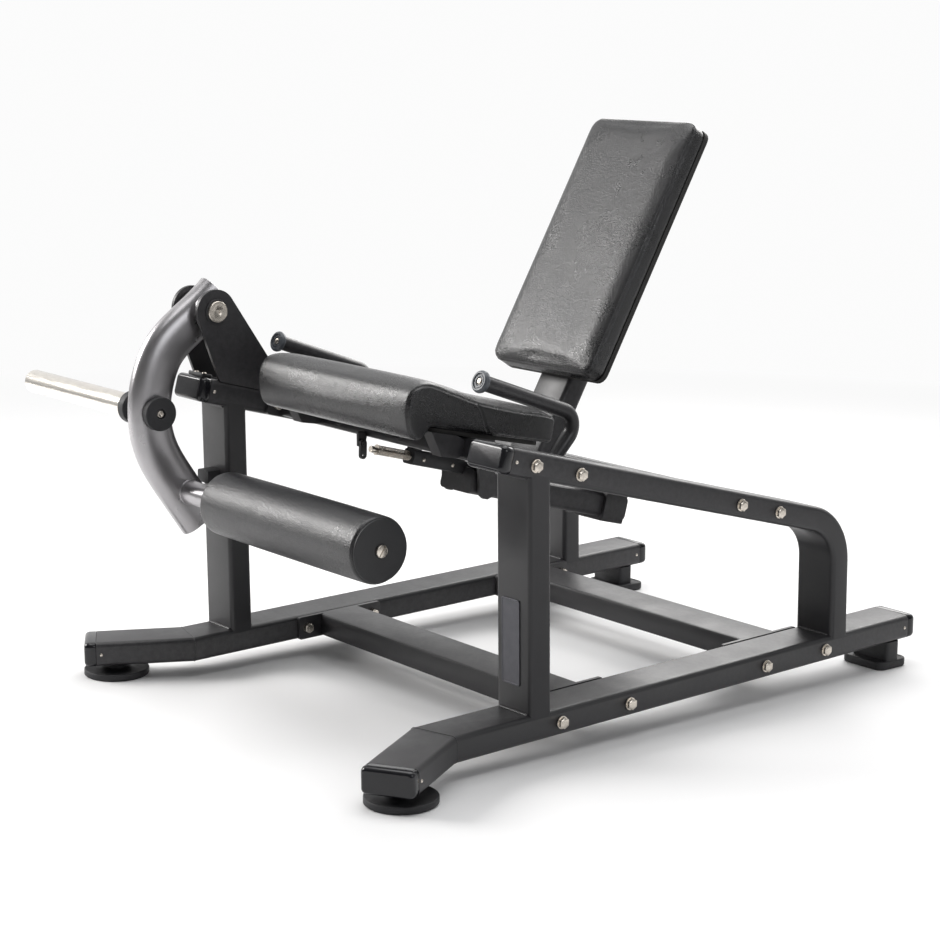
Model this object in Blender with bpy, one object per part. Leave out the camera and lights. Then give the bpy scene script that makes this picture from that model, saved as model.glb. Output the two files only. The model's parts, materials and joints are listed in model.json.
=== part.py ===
"""Plate-loaded leg extension machine, at rest.

Metres. +X is the sitter's left, -Y the front, +Z up. The origin is on the floor, under the middle of
the left front foot. The welded frame is drawn level, with x = 0 on its centre plane, and is then leaned
forward a little and set on its feet, because the front feet are lower than the rear ones.
"""

import math

import bmesh
import bpy
from mathutils import Matrix, Vector

# How the frame stands on its feet
LEAN = math.radians(1.27)
RAIL_CLEARANCE = 0.044

# Clearances
GAP = 0.0003
RUNNING = 0.00005

# Flat-sided frame tube
TUBE_WIDE = 0.100
TUBE_THIN = 0.050
TUBE_CORNER = 0.010
WALL = 0.003
INSET_WIDE = 0.0992
FOOT_SINK = 0.013

# Side frames
SIDE_X = 0.414
RAIL_KINK_Y = -0.539
RAIL_REAR_Y = 0.682
SPLAY = math.radians(30)
SPLAY_LENGTH = 0.184
SLOPE = math.radians(15.8)
UPPER_TOP_Y = -0.4187
UPPER_TOP_Z = 0.5573
UPPER_BEND = 0.105
REAR_LEG_Y = 0.468
POST_BACK = {"left": -0.306, "right": -0.412}
UPPER_CAP_Y = {"left": -0.420, "right": -0.520}
CAP_LENGTH = 0.024
SPIGOT_GAP = 0.0015

# Cross members and the bolts that hold them
LOWER_BOLT_PAIRS = {"front": (-0.283, -0.114), "rear": (0.253, 0.426)}
UPPER_BOLT_PAIRS = {"front": (-0.344, -0.239), "rear": (0.174, 0.281)}
END_PLATE = 0.008
LOWER_PLATE_HALF = 0.105
UPPER_PLATE_HALF = 0.075
UPPER_TUBE_WIDE = 0.084
UPPER_TUBE_THIN = 0.042
BOLT_RADIUS = 0.006
BOLT_HOLE = 0.0067
BOLT_SIDES = 12
HOLE_SIDES = 8

# Lever arm
PIVOT_Y, PIVOT_Z = -0.477, 0.712
ARM_WIDE = 0.092
ARM_THIN = 0.050
HUB_RADIUS = 0.034
AXLE_RADIUS = 0.0125
AXLE_SIDES = 20
BUSHING_RADIUS = 0.0165
PLATE_ROUND = 0.044
PIVOT_PLATE = 0.008
HORN_Y, HORN_Z = -0.6055, 0.518
HUB_HALF = 0.0385
HORN_START, HORN_END = -0.490, -0.905
HORN_RADIUS = 0.0245
STUB_RADIUS = 0.016
STUB_REACH = 0.060
COLLAR_RADIUS = 0.033
COLLAR_THICK = 0.022
BUMPER_RADIUS = 0.034

# Roller
ROLLER_Y, ROLLER_Z = -0.535, 0.348
ROLLER_HALF = 0.255
ROLLER_RADIUS = 0.063
ROD_RADIUS = 0.0125
BOSS_RADIUS = 0.024
DISC_THICK = 0.004

# Seat
SEAT_HALF = 0.252
SEAT_PITCH = math.atan(0.2295)
SEAT_REAR_Y, SEAT_REAR_Z = -0.128, 0.491
BOARD_THICK = 0.008

# Backrest, measured along its face from the lower front edge
BACK_Y, BACK_Z = 0.047, 0.592
BACK_LEAN = math.atan2(0.859, 0.512)
BACK_LENGTH = 0.574
BACK_HALF = 0.158
PAD_THICK = 0.044
POST_DEPTH = 0.059
POST_TOP = 0.400

# Sliding beam that carries the backrest
BEAM_LINE_Z = 0.3697
BEAM_FRONT_Y, BEAM_REAR_Y = -0.150, 0.262
GUIDE_FRONT_Y, GUIDE_REAR_Y = 0.206, 0.262
GUIDE_WALL = 0.008
SLIDE_GAP = 0.0003
EAR_NEAR, EAR_FAR = 0.053, 0.061

# Lock of the sliding beam
LOCK_FRONT_Y, LOCK_REAR_Y = -0.276, -0.152
SPRING_FRONT_Y = -0.356
SPRING_RADIUS = 0.0087
WIRE_RADIUS = 0.0009
SPRING_TURNS = 18
LOCK_ROD = 0.005
LEVER_Y, LEVER_Z = -0.345, 0.474
LEVER_PIN = 0.003

# Handles
HANDLE_X = 0.327
HANDLE_RADIUS = 0.0145
HANDLE_BEND = 0.032

# Feet
FOOT_RADIUS = 0.0655
FOOT_REACH = 0.145
FOOT_THICK = 0.014

SIGN = {"left": 1, "right": -1}
BLACK = (0.012, 0.012, 0.014)
FINISHES = {
    "frame_paint": (BLACK, 0.45, 0.0),
    "arm_paint": ((0.42, 0.42, 0.43), 0.32, 0.85),
    "chrome": ((0.80, 0.80, 0.80), 0.12, 1.0),
    "zinc": ((0.62, 0.60, 0.57), 0.28, 1.0),
    "gloss_plastic": ((0.006, 0.006, 0.007), 0.10, 0.0),
    "matte_plastic": ((0.015, 0.015, 0.016), 0.55, 0.0),
    "grey_plastic": ((0.10, 0.11, 0.12), 0.45, 0.0),
    "rubber": ((0.010, 0.010, 0.010), 0.80, 0.0),
    "vinyl": ((0.010, 0.010, 0.011), 0.38, 0.0),
    "foam": ((0.020, 0.020, 0.022), 0.50, 0.0),
    "plywood": ((0.020, 0.018, 0.016), 0.70, 0.0),
    "bronze": ((0.45, 0.30, 0.12), 0.35, 1.0),
}


# Points and outlines


def upper_top(y):
    """Height of the upper rail's top face at y."""
    return UPPER_TOP_Z - math.tan(SLOPE) * (y - UPPER_TOP_Y)


def upper_centre(y):
    return upper_top(y) - TUBE_THIN / 2 / math.cos(SLOPE)


def beam_top(y):
    return BEAM_LINE_Z - math.tan(SLOPE) * y


def board_bottom(y):
    drop = BOARD_THICK / math.cos(SEAT_PITCH) + GAP
    return SEAT_REAR_Z - math.tan(SEAT_PITCH) * (y - SEAT_REAR_Y) - drop


def inclined(y, z, angle):
    """Frame with X first, then the rearward direction down the slope, then the one square to both."""
    return Matrix.Translation((0, y, z)) @ Matrix.Rotation(-angle, 4, "X")


def arc(centre, radius, start, end, steps):
    """Points on an arc in a plane, with angles in radians."""
    turns = [start + (end - start) * i / steps for i in range(steps + 1)]
    return [(centre[0] + radius * math.cos(t), centre[1] + radius * math.sin(t)) for t in turns]


def circle(radius, sides, centre=(0, 0)):
    return arc(centre, radius, 0, math.tau, sides)[:-1]


def rounded(width, height, radius, steps=3):
    """Outline of a rounded rectangle about the origin."""
    points = []
    for corner in range(4):
        start = corner * math.pi / 2
        x = (width / 2 - radius) * (1 if corner in (0, 3) else -1)
        y = (height / 2 - radius) * (1 if corner in (0, 1) else -1)
        points += arc((x, y), radius, start, start + math.pi / 2, steps)
    return points


def stadium(thin, wide, steps=7):
    """Flat-sided oval, thin across the first axis and round at both ends of the second."""
    reach = (wide - thin) / 2
    top = arc((0, reach), thin / 2, 0, math.pi, steps)
    return top + arc((0, -reach), thin / 2, math.pi, math.tau, steps)


def fillet(corners, radius, steps):
    """Open path through corners (y, z), with each inner corner turned into an arc."""
    path = [Vector(corners[0])]
    for before, corner, after in zip(corners, corners[1:], corners[2:]):
        corner = Vector(corner)
        inward = (Vector(before) - corner).normalized()
        outward = (Vector(after) - corner).normalized()
        half = inward.angle(outward) / 2
        reach = radius / math.tan(half)
        centre = corner + (inward + outward).normalized() * radius / math.sin(half)
        first = corner + inward * reach - centre
        last = corner + outward * reach - centre
        sweep = first.angle_signed(last)
        path += [centre + Matrix.Rotation(-sweep * i / steps, 2) @ first for i in range(steps + 1)]
    path.append(Vector(corners[-1]))
    return path


def in_side_plane(path, x):
    return [Vector((x, y, z)) for y, z in path]


# Solids


def new_object(name, bm):
    bmesh.ops.recalc_face_normals(bm, faces=bm.faces)
    if bm.calc_volume(signed=True) < 0:
        bmesh.ops.reverse_faces(bm, faces=bm.faces)
    mesh = bpy.data.meshes.new(name)
    bm.to_mesh(mesh)
    bm.free()
    obj = bpy.data.objects.new(name, mesh)
    bpy.context.scene.collection.objects.link(obj)
    return obj


def skin(name, rings, looped=False):
    """Solid through rings of points; looped joins the last to the first, otherwise the ends are capped."""
    bm = bmesh.new()
    loops = [[bm.verts.new(point) for point in ring] for ring in rings]
    pairs = list(zip(loops, loops[1:] + loops[:1] if looped else loops[1:]))
    for near, far in pairs:
        for i in range(len(near)):
            j = (i + 1) % len(near)
            bm.faces.new((near[i], near[j], far[j], far[i]))
    if not looped:
        bm.faces.new(loops[0])
        bm.faces.new(loops[-1])
    return new_object(name, bm)


def sweep(name, path, side, profile, extend=0.0):
    """Profile (across, up) carried along a flat path, mitred at corners; side is square to its plane."""
    side = Vector(side)
    path = [Vector(point) for point in path]
    path[0] += (path[0] - path[1]).normalized() * extend
    path[-1] += (path[-1] - path[-2]).normalized() * extend
    legs = [(b - a).normalized() for a, b in zip(path, path[1:])]
    rings = []
    for i, point in enumerate(path):
        before = legs[max(i - 1, 0)]
        after = legs[min(i, len(legs) - 1)]
        normal = side.cross(before + after).normalized()
        stretch = 1 / math.cos(before.angle(after) / 2)
        rings.append([point + side * u + normal * v * stretch for u, v in profile])
    return skin(name, rings)


def prism(name, outline, place, low, high, along="X"):
    """Outline carried from low to high along X, or along the second axis of the frame given."""
    if along == "X":
        rings = [[place @ Vector((t, u, v)) for u, v in outline] for t in (low, high)]
    else:
        rings = [[place @ Vector((u, t, v)) for u, v in outline] for t in (low, high)]
    return skin(name, rings)


def turned(name, profile, sides, place, looped=False):
    """Profile (along, radius) turned about the first axis of place."""
    rings = []
    for along, radius in profile:
        rings.append([place @ Vector((along, u, v)) for u, v in circle(radius, sides)])
    return skin(name, rings, looped)


def about_x(y, z):
    return Matrix.Translation((0, y, z))


def about_z(x, y):
    """Frame whose first axis points up."""
    return Matrix.Translation((x, y, 0)) @ Matrix.Rotation(-math.pi / 2, 4, "Y")


def shaped(obj, *steps):
    """Applies ("UNION" or "DIFFERENCE", solid) steps to obj and removes the solids."""
    for operation, other in steps:
        modifier = obj.modifiers.new(other.name, "BOOLEAN")
        modifier.operation = operation
        modifier.solver = "EXACT"
        modifier.object = other
    graph = bpy.context.evaluated_depsgraph_get()
    mesh = bpy.data.meshes.new_from_object(obj.evaluated_get(graph))
    obj.modifiers.clear()
    obj.data = mesh
    for _, other in steps:
        bpy.data.objects.remove(other)
    return obj


def hole(x, y, z, radius, sides, low=-1.0, high=1.0):
    """Round cutter along X, from x + low to x + high."""
    return turned("cut", [(x + low, radius), (x + high, radius)], sides, about_x(y, z))


def finish(obj, finish_name, smooth_below=40):
    colour, roughness, metallic = FINISHES[finish_name]
    material = bpy.data.materials.new(obj.name + "_" + finish_name)
    material.use_nodes = True
    shader = material.node_tree.nodes["Principled BSDF"]
    shader.inputs["Base Color"].default_value = (*colour, 1)
    shader.inputs["Roughness"].default_value = roughness
    shader.inputs["Metallic"].default_value = metallic
    obj.data.materials.clear()
    obj.data.materials.append(material)
    obj.data.shade_smooth()
    obj.data.set_sharp_from_angle(angle=math.radians(smooth_below))
    return obj


# Side frames


def base_path(sign):
    reach = Vector((sign * math.sin(SPLAY), -math.cos(SPLAY), 0)) * SPLAY_LENGTH
    kink = Vector((sign * SIDE_X, RAIL_KINK_Y, TUBE_THIN / 2))
    return [kink + reach, kink, Vector((sign * SIDE_X, RAIL_REAR_Y, TUBE_THIN / 2))]


def upper_path(side):
    front = UPPER_CAP_Y[side] + CAP_LENGTH * math.cos(SLOPE)
    corners = [(front, upper_centre(front)), (REAR_LEG_Y, upper_centre(REAR_LEG_Y))]
    corners += [(REAR_LEG_Y, TUBE_THIN - FOOT_SINK)]
    return in_side_plane(fillet(corners, UPPER_BEND, 7), SIGN[side] * SIDE_X)


def bolt_places():
    """(name, y, z) for the eight bolts of one side frame."""
    places = []
    for end, pair in LOWER_BOLT_PAIRS.items():
        places += [("lower_" + end + "_" + str(i + 1), y, TUBE_THIN / 2) for i, y in enumerate(pair)]
    for end, pair in UPPER_BOLT_PAIRS.items():
        places += [("upper_" + end + "_" + str(i + 1), y, upper_centre(y)) for i, y in enumerate(pair)]
    return places


def pivot_plate_outline():
    """Tall plate with a round top about the arm's pivot, running down into the upper rail."""
    foot_front, foot_rear, sink = -0.473, -0.300, 0.0028
    outline = [(foot_front, upper_top(foot_front) - sink)]
    centre = Vector((PIVOT_Y, PIVOT_Z))
    ends = []
    for foot_y, turn in ((foot_front, -1), (foot_rear, 1)):
        foot = Vector((foot_y, upper_top(foot_y) - sink)) - centre
        lean = math.acos(PLATE_ROUND / foot.length)
        ends.append(math.atan2(foot.y, foot.x) + turn * lean)
    start = ends[0] + math.tau
    outline += arc((PIVOT_Y, PIVOT_Z), PLATE_ROUND, start, ends[1], 12)
    outline.append((foot_rear, upper_top(foot_rear) - sink))
    return outline


def side_frame(side):
    sign = SIGN[side]
    x = sign * SIDE_X
    outer = rounded(TUBE_WIDE, TUBE_THIN, TUBE_CORNER)
    inner = rounded(TUBE_WIDE - 2 * WALL, TUBE_THIN - 2 * WALL, TUBE_CORNER - WALL, 1)
    post_outer = rounded(INSET_WIDE, TUBE_THIN, TUBE_CORNER)
    post_inner = rounded(INSET_WIDE - 2 * WALL, TUBE_THIN - 2 * WALL, TUBE_CORNER - WALL, 1)
    upper_outer = rounded(INSET_WIDE + 0.0004, TUBE_THIN, TUBE_CORNER)
    post_y = POST_BACK[side] - TUBE_THIN / 2
    post_top = upper_centre(post_y)
    post = [Vector((x, post_y, TUBE_THIN - FOOT_SINK)), Vector((x, post_y, post_top))]
    post_hollow = [Vector((x, post_y, TUBE_THIN / 2 + 0.002)), Vector((x, post_y, post_top - 0.002))]
    steps = [
        ("UNION", sweep("post", post, (1, 0, 0), post_outer)),
        ("UNION", sweep("upper", upper_path(side), (1, 0, 0), upper_outer)),
    ]
    if side == "right":
        for plate_x in (x - 0.0496, x + 0.0496 - PIVOT_PLATE):
            plate = prism("plate", pivot_plate_outline(), Matrix.Identity(4), plate_x, plate_x + PIVOT_PLATE)
            steps.append(("UNION", plate))
    steps += [
        ("DIFFERENCE", sweep("cut", base_path(sign), (0, 0, 1), [(v, u) for u, v in inner], 0.01)),
        ("DIFFERENCE", sweep("cut", post_hollow, (1, 0, 0), post_inner)),
        ("DIFFERENCE", sweep("cut", upper_path(side), (1, 0, 0), post_inner, 0.012)),
    ]
    for _, y, z in bolt_places():
        steps.append(("DIFFERENCE", hole(x, y, z, BOLT_HOLE, HOLE_SIDES, -0.06, 0.06)))
    if side == "right":
        axle_hole = (AXLE_RADIUS + GAP) / math.cos(math.pi / AXLE_SIDES)
        steps.append(("DIFFERENCE", hole(x, PIVOT_Y, PIVOT_Z, axle_hole, AXLE_SIDES, -0.07, 0.07)))
    frame = sweep("side_frame_" + side, base_path(sign), (0, 0, 1), [(v, u) for u, v in outer])
    return finish(shaped(frame, *steps), "frame_paint")


def end_cap(name, tip, direction, side, wide=TUBE_WIDE):
    """Glossy plug: a rounded nose outside the tube and a spigot inside it. tip is the nose's outer face."""
    direction = Vector(direction)
    up = Vector(side).cross(direction)
    side = Vector(side)
    rings = []
    stations = (
        (0.0, 0.007, 0.006),
        (0.002, 0.003, 0.008),
        (0.006, 0.0008, 0.010),
        (0.011, 0.0, TUBE_CORNER),
        (CAP_LENGTH - GAP, 0.0, TUBE_CORNER),
        (CAP_LENGTH - GAP, WALL + SPIGOT_GAP, TUBE_CORNER),
        (CAP_LENGTH + 0.018, WALL + SPIGOT_GAP, TUBE_CORNER),
    )
    for depth, inset, corner in stations:
        centre = Vector(tip) + direction * depth
        outline = rounded(wide - 2 * inset, TUBE_THIN - 2 * inset, corner)
        rings.append([centre + side * u + up * v for u, v in outline])
    return finish(skin(name, rings), "gloss_plastic", 50)


def rail_caps(side):
    sign = SIGN[side]
    front, kink, rear = base_path(sign)
    inward = (kink - front).normalized()
    across = Vector((0, 0, 1)).cross(inward)
    caps = [end_cap("base_front_cap_" + side, front - inward * CAP_LENGTH, inward, across)]
    rear_tip = rear + Vector((0, CAP_LENGTH, 0))
    caps.append(end_cap("base_rear_cap_" + side, rear_tip, (0, -1, 0), (1, 0, 0)))
    downhill = Vector((0, math.cos(SLOPE), -math.sin(SLOPE)))
    tip = upper_path(side)[0] - downhill * CAP_LENGTH
    caps.append(end_cap("upper_front_cap_" + side, tip, downhill, (1, 0, 0), INSET_WIDE + 0.0004))
    return caps


# Cross members


def plate_outline(half, height, corner=0.004):
    return rounded(2 * half, height, corner, 2)


def cross_member(name, place, wide, thin, plate_half, plate_height, bolts, extras=(), extra_cuts=()):
    """Tube between the side frames with a bolting plate at each end; place is its centre line's frame."""
    inner_x = SIDE_X - TUBE_WIDE / 2 - GAP
    tube_x = inner_x - END_PLATE / 2
    beam = prism(name, rounded(wide, thin, 0.006, 2), place, -tube_x, tube_x)
    steps = []
    for low in (-inner_x, inner_x - END_PLATE):
        plate = prism("plate", plate_outline(plate_half, plate_height), place, low, low + END_PLATE)
        steps.append(("UNION", plate))
    steps += [("UNION", extra) for extra in extras]
    hollow_x = inner_x - END_PLATE
    hollow = prism("cut", rounded(wide - 2 * WALL, thin - 2 * WALL, 0.003, 1), place, -hollow_x, hollow_x)
    steps.append(("DIFFERENCE", hollow))
    for vent_x in (-0.30, 0.30):
        vent = [(vent_x + u, v) for u, v in circle(0.005, 8)]
        rings = [[place @ Vector((u, v, t)) for u, v in vent] for t in (-thin, -thin / 4)]
        steps.append(("DIFFERENCE", skin("cut", rings)))
    for y, z in bolts:
        for sign in (-1, 1):
            steps.append(("DIFFERENCE", hole(sign * inner_x, y, z, BOLT_HOLE, HOLE_SIDES, -0.012, 0.012)))
    steps += [("DIFFERENCE", cut) for cut in extra_cuts]
    return finish(shaped(beam, *steps), "frame_paint")


def lower_beam(end):
    pair = LOWER_BOLT_PAIRS[end]
    place = Matrix.Translation((0, sum(pair) / 2, TUBE_THIN / 2))
    bolts = [(y, TUBE_THIN / 2) for y in pair]
    name = "lower_" + end + "_beam"
    thin = TUBE_THIN - 0.002
    return cross_member(name, place, TUBE_WIDE, thin, LOWER_PLATE_HALF, thin, bolts)


def upper_place(end):
    y = sum(UPPER_BOLT_PAIRS[end]) / 2
    return inclined(y, upper_centre(y), SLOPE)


def upper_bolts(end):
    return [(y, upper_centre(y)) for y in UPPER_BOLT_PAIRS[end]]


def beam_guide_parts(place):
    """Box under the rear cross member that the sliding beam runs in, and its bore."""
    low, high = [(y - place.translation.y) / math.cos(SLOPE) for y in (GUIDE_FRONT_Y, GUIDE_REAR_Y)]
    top = beam_top(place.translation.y) - place.translation.z
    top *= math.cos(SLOPE)
    centre = top - TUBE_THIN / 2
    outer = rounded(TUBE_WIDE + 2 * GUIDE_WALL, TUBE_THIN + 2 * GUIDE_WALL, 0.004, 2)
    shell = [(u, v + centre) for u, v in outer]
    pad = block_outline(0.040, top + 0.004, -UPPER_TUBE_THIN / 2 + 0.004)
    bore = rounded(TUBE_WIDE + 2 * SLIDE_GAP, TUBE_THIN + 2 * SLIDE_GAP, TUBE_CORNER + SLIDE_GAP)
    bore = [(u, v + centre) for u, v in bore]
    shell = prism("guide", shell, place, low, high, "slope")
    pad = prism("pad", pad, place, low + 0.006, high - 0.012, "slope")
    return (shell, pad), prism("cut", bore, place, low - 0.01, high + 0.01, "slope")


def block_outline(half, low, high):
    return [(-half, low), (half, low), (half, high), (-half, high)]


def upper_rear_beam():
    place = upper_place("rear")
    extras, bore = beam_guide_parts(place)
    return cross_member(
        "upper_rear_beam", place, UPPER_TUBE_WIDE, UPPER_TUBE_THIN, UPPER_PLATE_HALF, 0.046,
        upper_bolts("rear"), extras, (bore,),
    )


def seat_bearer(low_x):
    """Upright plate under the seat board that turns down at the rear into an ear beside the sliding beam."""
    front, rear = -0.405, -0.109
    ear_y, ear_z, ear_round = -0.129, 0.370, 0.020
    outline = [
        (front, board_bottom(front)),
        (front, board_bottom(front) - 0.012),
        (-0.330, board_bottom(-0.330) - 0.026),
        (-0.160, board_bottom(-0.160) - 0.026),
        (ear_y - ear_round, 0.440),
    ]
    outline += arc((ear_y, ear_z), ear_round, math.pi, math.tau, 6)
    outline.append((rear, board_bottom(rear)))
    return prism("bearer", outline, Matrix.Identity(4), low_x, low_x + EAR_FAR - EAR_NEAR)


def seat_bracket(low_x):
    """Folded bracket that carries the seat board ahead of the cross member."""
    outline = [
        (-0.404, board_bottom(-0.404)),
        (-0.381, 0.497),
        (-0.345, 0.490),
        (-0.325, 0.498),
        (-0.325, 0.520),
        (-0.345, board_bottom(-0.345)),
    ]
    return prism("bracket", outline, Matrix.Identity(4), low_x, low_x + 0.030)


def lever_stud():
    """Tab under the cross member with the pin that the release lever turns on."""
    tab = prism(
        "tab", [(-0.353, 0.497), (-0.353, 0.468), (-0.337, 0.468), (-0.330, 0.495)],
        Matrix.Identity(4), -0.066, -0.060,
    )
    profile = [(-0.062, LEVER_PIN), (-0.0525, LEVER_PIN), (-0.0525, 0.005), (-0.050, 0.005)]
    return tab, turned("pin", profile, 16, about_x(LEVER_Y, LEVER_Z))


def seat_frame():
    place = upper_place("front")
    extras = [seat_bearer(EAR_NEAR), seat_bearer(-EAR_FAR)]
    extras += [seat_bracket(0.212), seat_bracket(-0.242)]
    over_beam = inclined(-0.129, beam_top(-0.129), SLOPE)
    for low_x in (-0.055, 0.018):
        outline = [(-0.018, SLIDE_GAP), (0.018, SLIDE_GAP), (0.018, 0.010), (-0.018, 0.010)]
        extras.append(prism("pad", outline, over_beam, low_x, low_x + 0.037))
    extras += lever_stud()
    return cross_member(
        "seat_frame", place, UPPER_TUBE_WIDE, UPPER_TUBE_THIN, UPPER_PLATE_HALF, 0.046,
        upper_bolts("front"), extras,
    )


def bolt(side, name, y, z):
    """Hexagon bolt through rail and end plate, with its washer outside and its nut inside."""
    sign = SIGN[side]
    face = SIDE_X + TUBE_WIDE / 2 + GAP
    inside = SIDE_X - TUBE_WIDE / 2 - END_PLATE - 2 * GAP
    hexagon = 0.0095
    profile = [
        (face + 0.0098, hexagon, True),
        (face + 0.0024, hexagon, True),
        (face + 0.0024, 0.0120, False),
        (face, 0.0120, False),
        (face, BOLT_RADIUS, False),
        (inside, BOLT_RADIUS, False),
        (inside, hexagon, True),
        (inside - 0.010, hexagon, True),
    ]
    rings = []
    for x, radius, flats in profile:
        ring = []
        for i in range(BOLT_SIDES):
            reach = radius / math.cos(math.pi / 6) if flats and i % 2 else radius
            turn = math.tau * i / BOLT_SIDES
            ring.append((sign * x, y + reach * math.cos(turn), z + reach * math.sin(turn)))
        rings.append(ring)
    return finish(skin("bolt_" + name + "_" + side, rings), "zinc", 25)


# Lever arm


def arm_path():
    """Centre line of the bowed arm, from above the pivot down to its foot."""
    top = Vector((PIVOT_Y, PIVOT_Z)) + Vector((0.75, 0.66)).normalized() * 0.043
    knots = [
        top, (PIVOT_Y, PIVOT_Z), (-0.532, 0.674), (-0.573, 0.639), (-0.594, 0.596), (-0.605, 0.560),
        (-0.609, 0.522), (-0.608, 0.480), (-0.598, 0.441), (-0.582, 0.408), (-0.556, 0.367),
        (-0.5011, 0.2829),
    ]
    return in_side_plane(knots, -SIDE_X)


def lever_arm():
    path = arm_path()
    outer = stadium(ARM_THIN, ARM_WIDE)
    inner = stadium(ARM_THIN - 2 * WALL, ARM_WIDE - 2 * WALL, 4)
    pivot = about_x(PIVOT_Y, PIVOT_Z)
    hub = turned("hub", [(-SIDE_X - HUB_HALF, HUB_RADIUS), (-SIDE_X + HUB_HALF, HUB_RADIUS)], 20, pivot)
    bore = (BUSHING_RADIUS + GAP) / math.cos(math.pi / AXLE_SIDES)
    horn = about_x(HORN_Y, HORN_Z)
    stub = turned("stub", [(-SIDE_X - 0.020, STUB_RADIUS), (HORN_START - STUB_REACH, STUB_RADIUS)], 16, horn)
    stud_profile = [(-SIDE_X + 0.020, 0.004), (-0.3760, 0.004), (-0.3760, 0.0065), (-0.3725, 0.0065)]
    stud = turned("stud", stud_profile, 12, horn)
    roller = about_x(ROLLER_Y, ROLLER_Z)
    boss = turned("boss", [(-SIDE_X, BOSS_RADIUS), (-ROLLER_HALF - 0.002, BOSS_RADIUS)], 20, roller)
    rod_bore = (ROD_RADIUS + GAP) / math.cos(math.pi / AXLE_SIDES)
    steps = (
        ("DIFFERENCE", sweep("cut", path, (1, 0, 0), inner, 0.01)),
        ("UNION", hub),
        ("DIFFERENCE", hole(-SIDE_X, PIVOT_Y, PIVOT_Z, bore, AXLE_SIDES, -0.06, 0.06)),
        ("UNION", stub),
        ("UNION", stud),
        ("UNION", boss),
        ("DIFFERENCE", hole(0, ROLLER_Y, ROLLER_Z, rod_bore, AXLE_SIDES, -0.46, -0.20)),
    )
    arm = sweep("lever_arm", path, (1, 0, 0), outer)
    return finish(shaped(arm, *steps), "arm_paint")


def arm_cap(name, end, before):
    """Domed plug in an open end of the arm."""
    outward = (end - before).normalized()
    side = Vector((1, 0, 0))
    up = side.cross(outward)
    rings = []
    tongue = WALL + 0.003
    for depth, inset in ((0.0035, 0.004), (0.002, 0.001), (GAP, 0.0), (GAP, tongue), (-0.006, tongue)):
        outline = stadium(ARM_THIN - 2 * inset, ARM_WIDE - 2 * inset)
        rings.append([end + outward * depth + side * u + up * v for u, v in outline])
    return finish(skin(name, rings), "arm_paint")


def arm_caps():
    path = arm_path()
    return [arm_cap("arm_top_cap", path[0], path[1]), arm_cap("arm_bottom_cap", path[-1], path[-2])]


def pivot_axle():
    """Axle through both pivot plates, with a broad socket head at each end."""
    plate_out = 0.0496 + GAP
    head = 0.0215
    profile = [
        (-plate_out - 0.003, 0.005), (-plate_out - 0.0075, 0.005), (-plate_out - 0.0075, head - 0.0015),
        (-plate_out - 0.006, head), (-plate_out, head), (-plate_out, AXLE_RADIUS),
    ]
    profile += [(-along, radius) for along, radius in reversed(profile)]
    place = about_x(PIVOT_Y, PIVOT_Z) @ Matrix.Translation((-SIDE_X, 0, 0))
    return finish(turned("pivot_axle", profile, AXLE_SIDES, place), "zinc")


def pivot_bushing(side):
    """Flanged bushing pressed into the arm's hub, running on the axle."""
    sign = SIGN[side]
    bore = (AXLE_RADIUS + RUNNING) / math.cos(math.pi / AXLE_SIDES)
    flange_out = 0.0496 - PIVOT_PLATE - RUNNING * 4
    flange_in = HUB_HALF + GAP
    profile = [
        (sign * flange_out, bore), (sign * flange_out, 0.024), (sign * flange_in, 0.024),
        (sign * flange_in, BUSHING_RADIUS), (sign * 0.010, BUSHING_RADIUS), (sign * 0.010, bore),
    ]
    place = about_x(PIVOT_Y, PIVOT_Z) @ Matrix.Translation((-SIDE_X, 0, 0))
    return finish(turned("pivot_bushing_" + side, profile, AXLE_SIDES, place, True), "bronze")


def weight_horn():
    """Chromed sleeve for the weight plates, closed at its outer end."""
    bore = STUB_RADIUS + GAP
    hollow = HORN_RADIUS - WALL
    profile = [
        (HORN_START, bore), (HORN_START, HORN_RADIUS), (HORN_END + 0.002, HORN_RADIUS),
        (HORN_END, HORN_RADIUS - 0.002), (HORN_END, 0.002), (HORN_END + 0.004, 0.002),
        (HORN_END + 0.004, hollow), (HORN_START - 0.020, hollow), (HORN_START - 0.020, bore),
    ]
    return finish(turned("weight_horn", profile, 24, about_x(HORN_Y, HORN_Z), True), "chrome")


def horn_collar():
    """Rubber ring round the stub, that the weight plates stop against."""
    bore = STUB_RADIUS + GAP
    round_off = 0.0015
    near, far = HORN_START + GAP, HORN_START + COLLAR_THICK
    profile = [
        (near, bore), (near, COLLAR_RADIUS - round_off), (near + round_off, COLLAR_RADIUS),
        (far - round_off, COLLAR_RADIUS), (far, COLLAR_RADIUS - round_off), (far, bore),
    ]
    return finish(turned("horn_collar", profile, 20, about_x(HORN_Y, HORN_Z), True), "rubber")


def arm_bumper():
    """Rubber disc on the arm's inner face, with its screw sunk in the middle."""
    near, far = -SIDE_X + ARM_THIN / 2 + GAP, -0.3720
    profile = [
        (near, 0.0045), (near, BUMPER_RADIUS - 0.002), (near + 0.002, BUMPER_RADIUS),
        (far - 0.002, BUMPER_RADIUS),
        (far, BUMPER_RADIUS - 0.002), (far, 0.010), (-0.3765, 0.010), (-0.3765, 0.0045),
    ]
    return finish(turned("arm_bumper", profile, 20, about_x(HORN_Y, HORN_Z), True), "rubber")


# Roller


def roller_rod():
    """Shaft bolted through the arm, that the roller turns on."""
    arm_face = -SIDE_X - ARM_THIN / 2 - GAP
    profile = [
        (arm_face - 0.008, 0.014), (arm_face, 0.014), (arm_face, ROD_RADIUS), (ROLLER_HALF, ROD_RADIUS),
    ]
    return finish(turned("roller_rod", profile, AXLE_SIDES, about_x(ROLLER_Y, ROLLER_Z)), "zinc")


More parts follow.
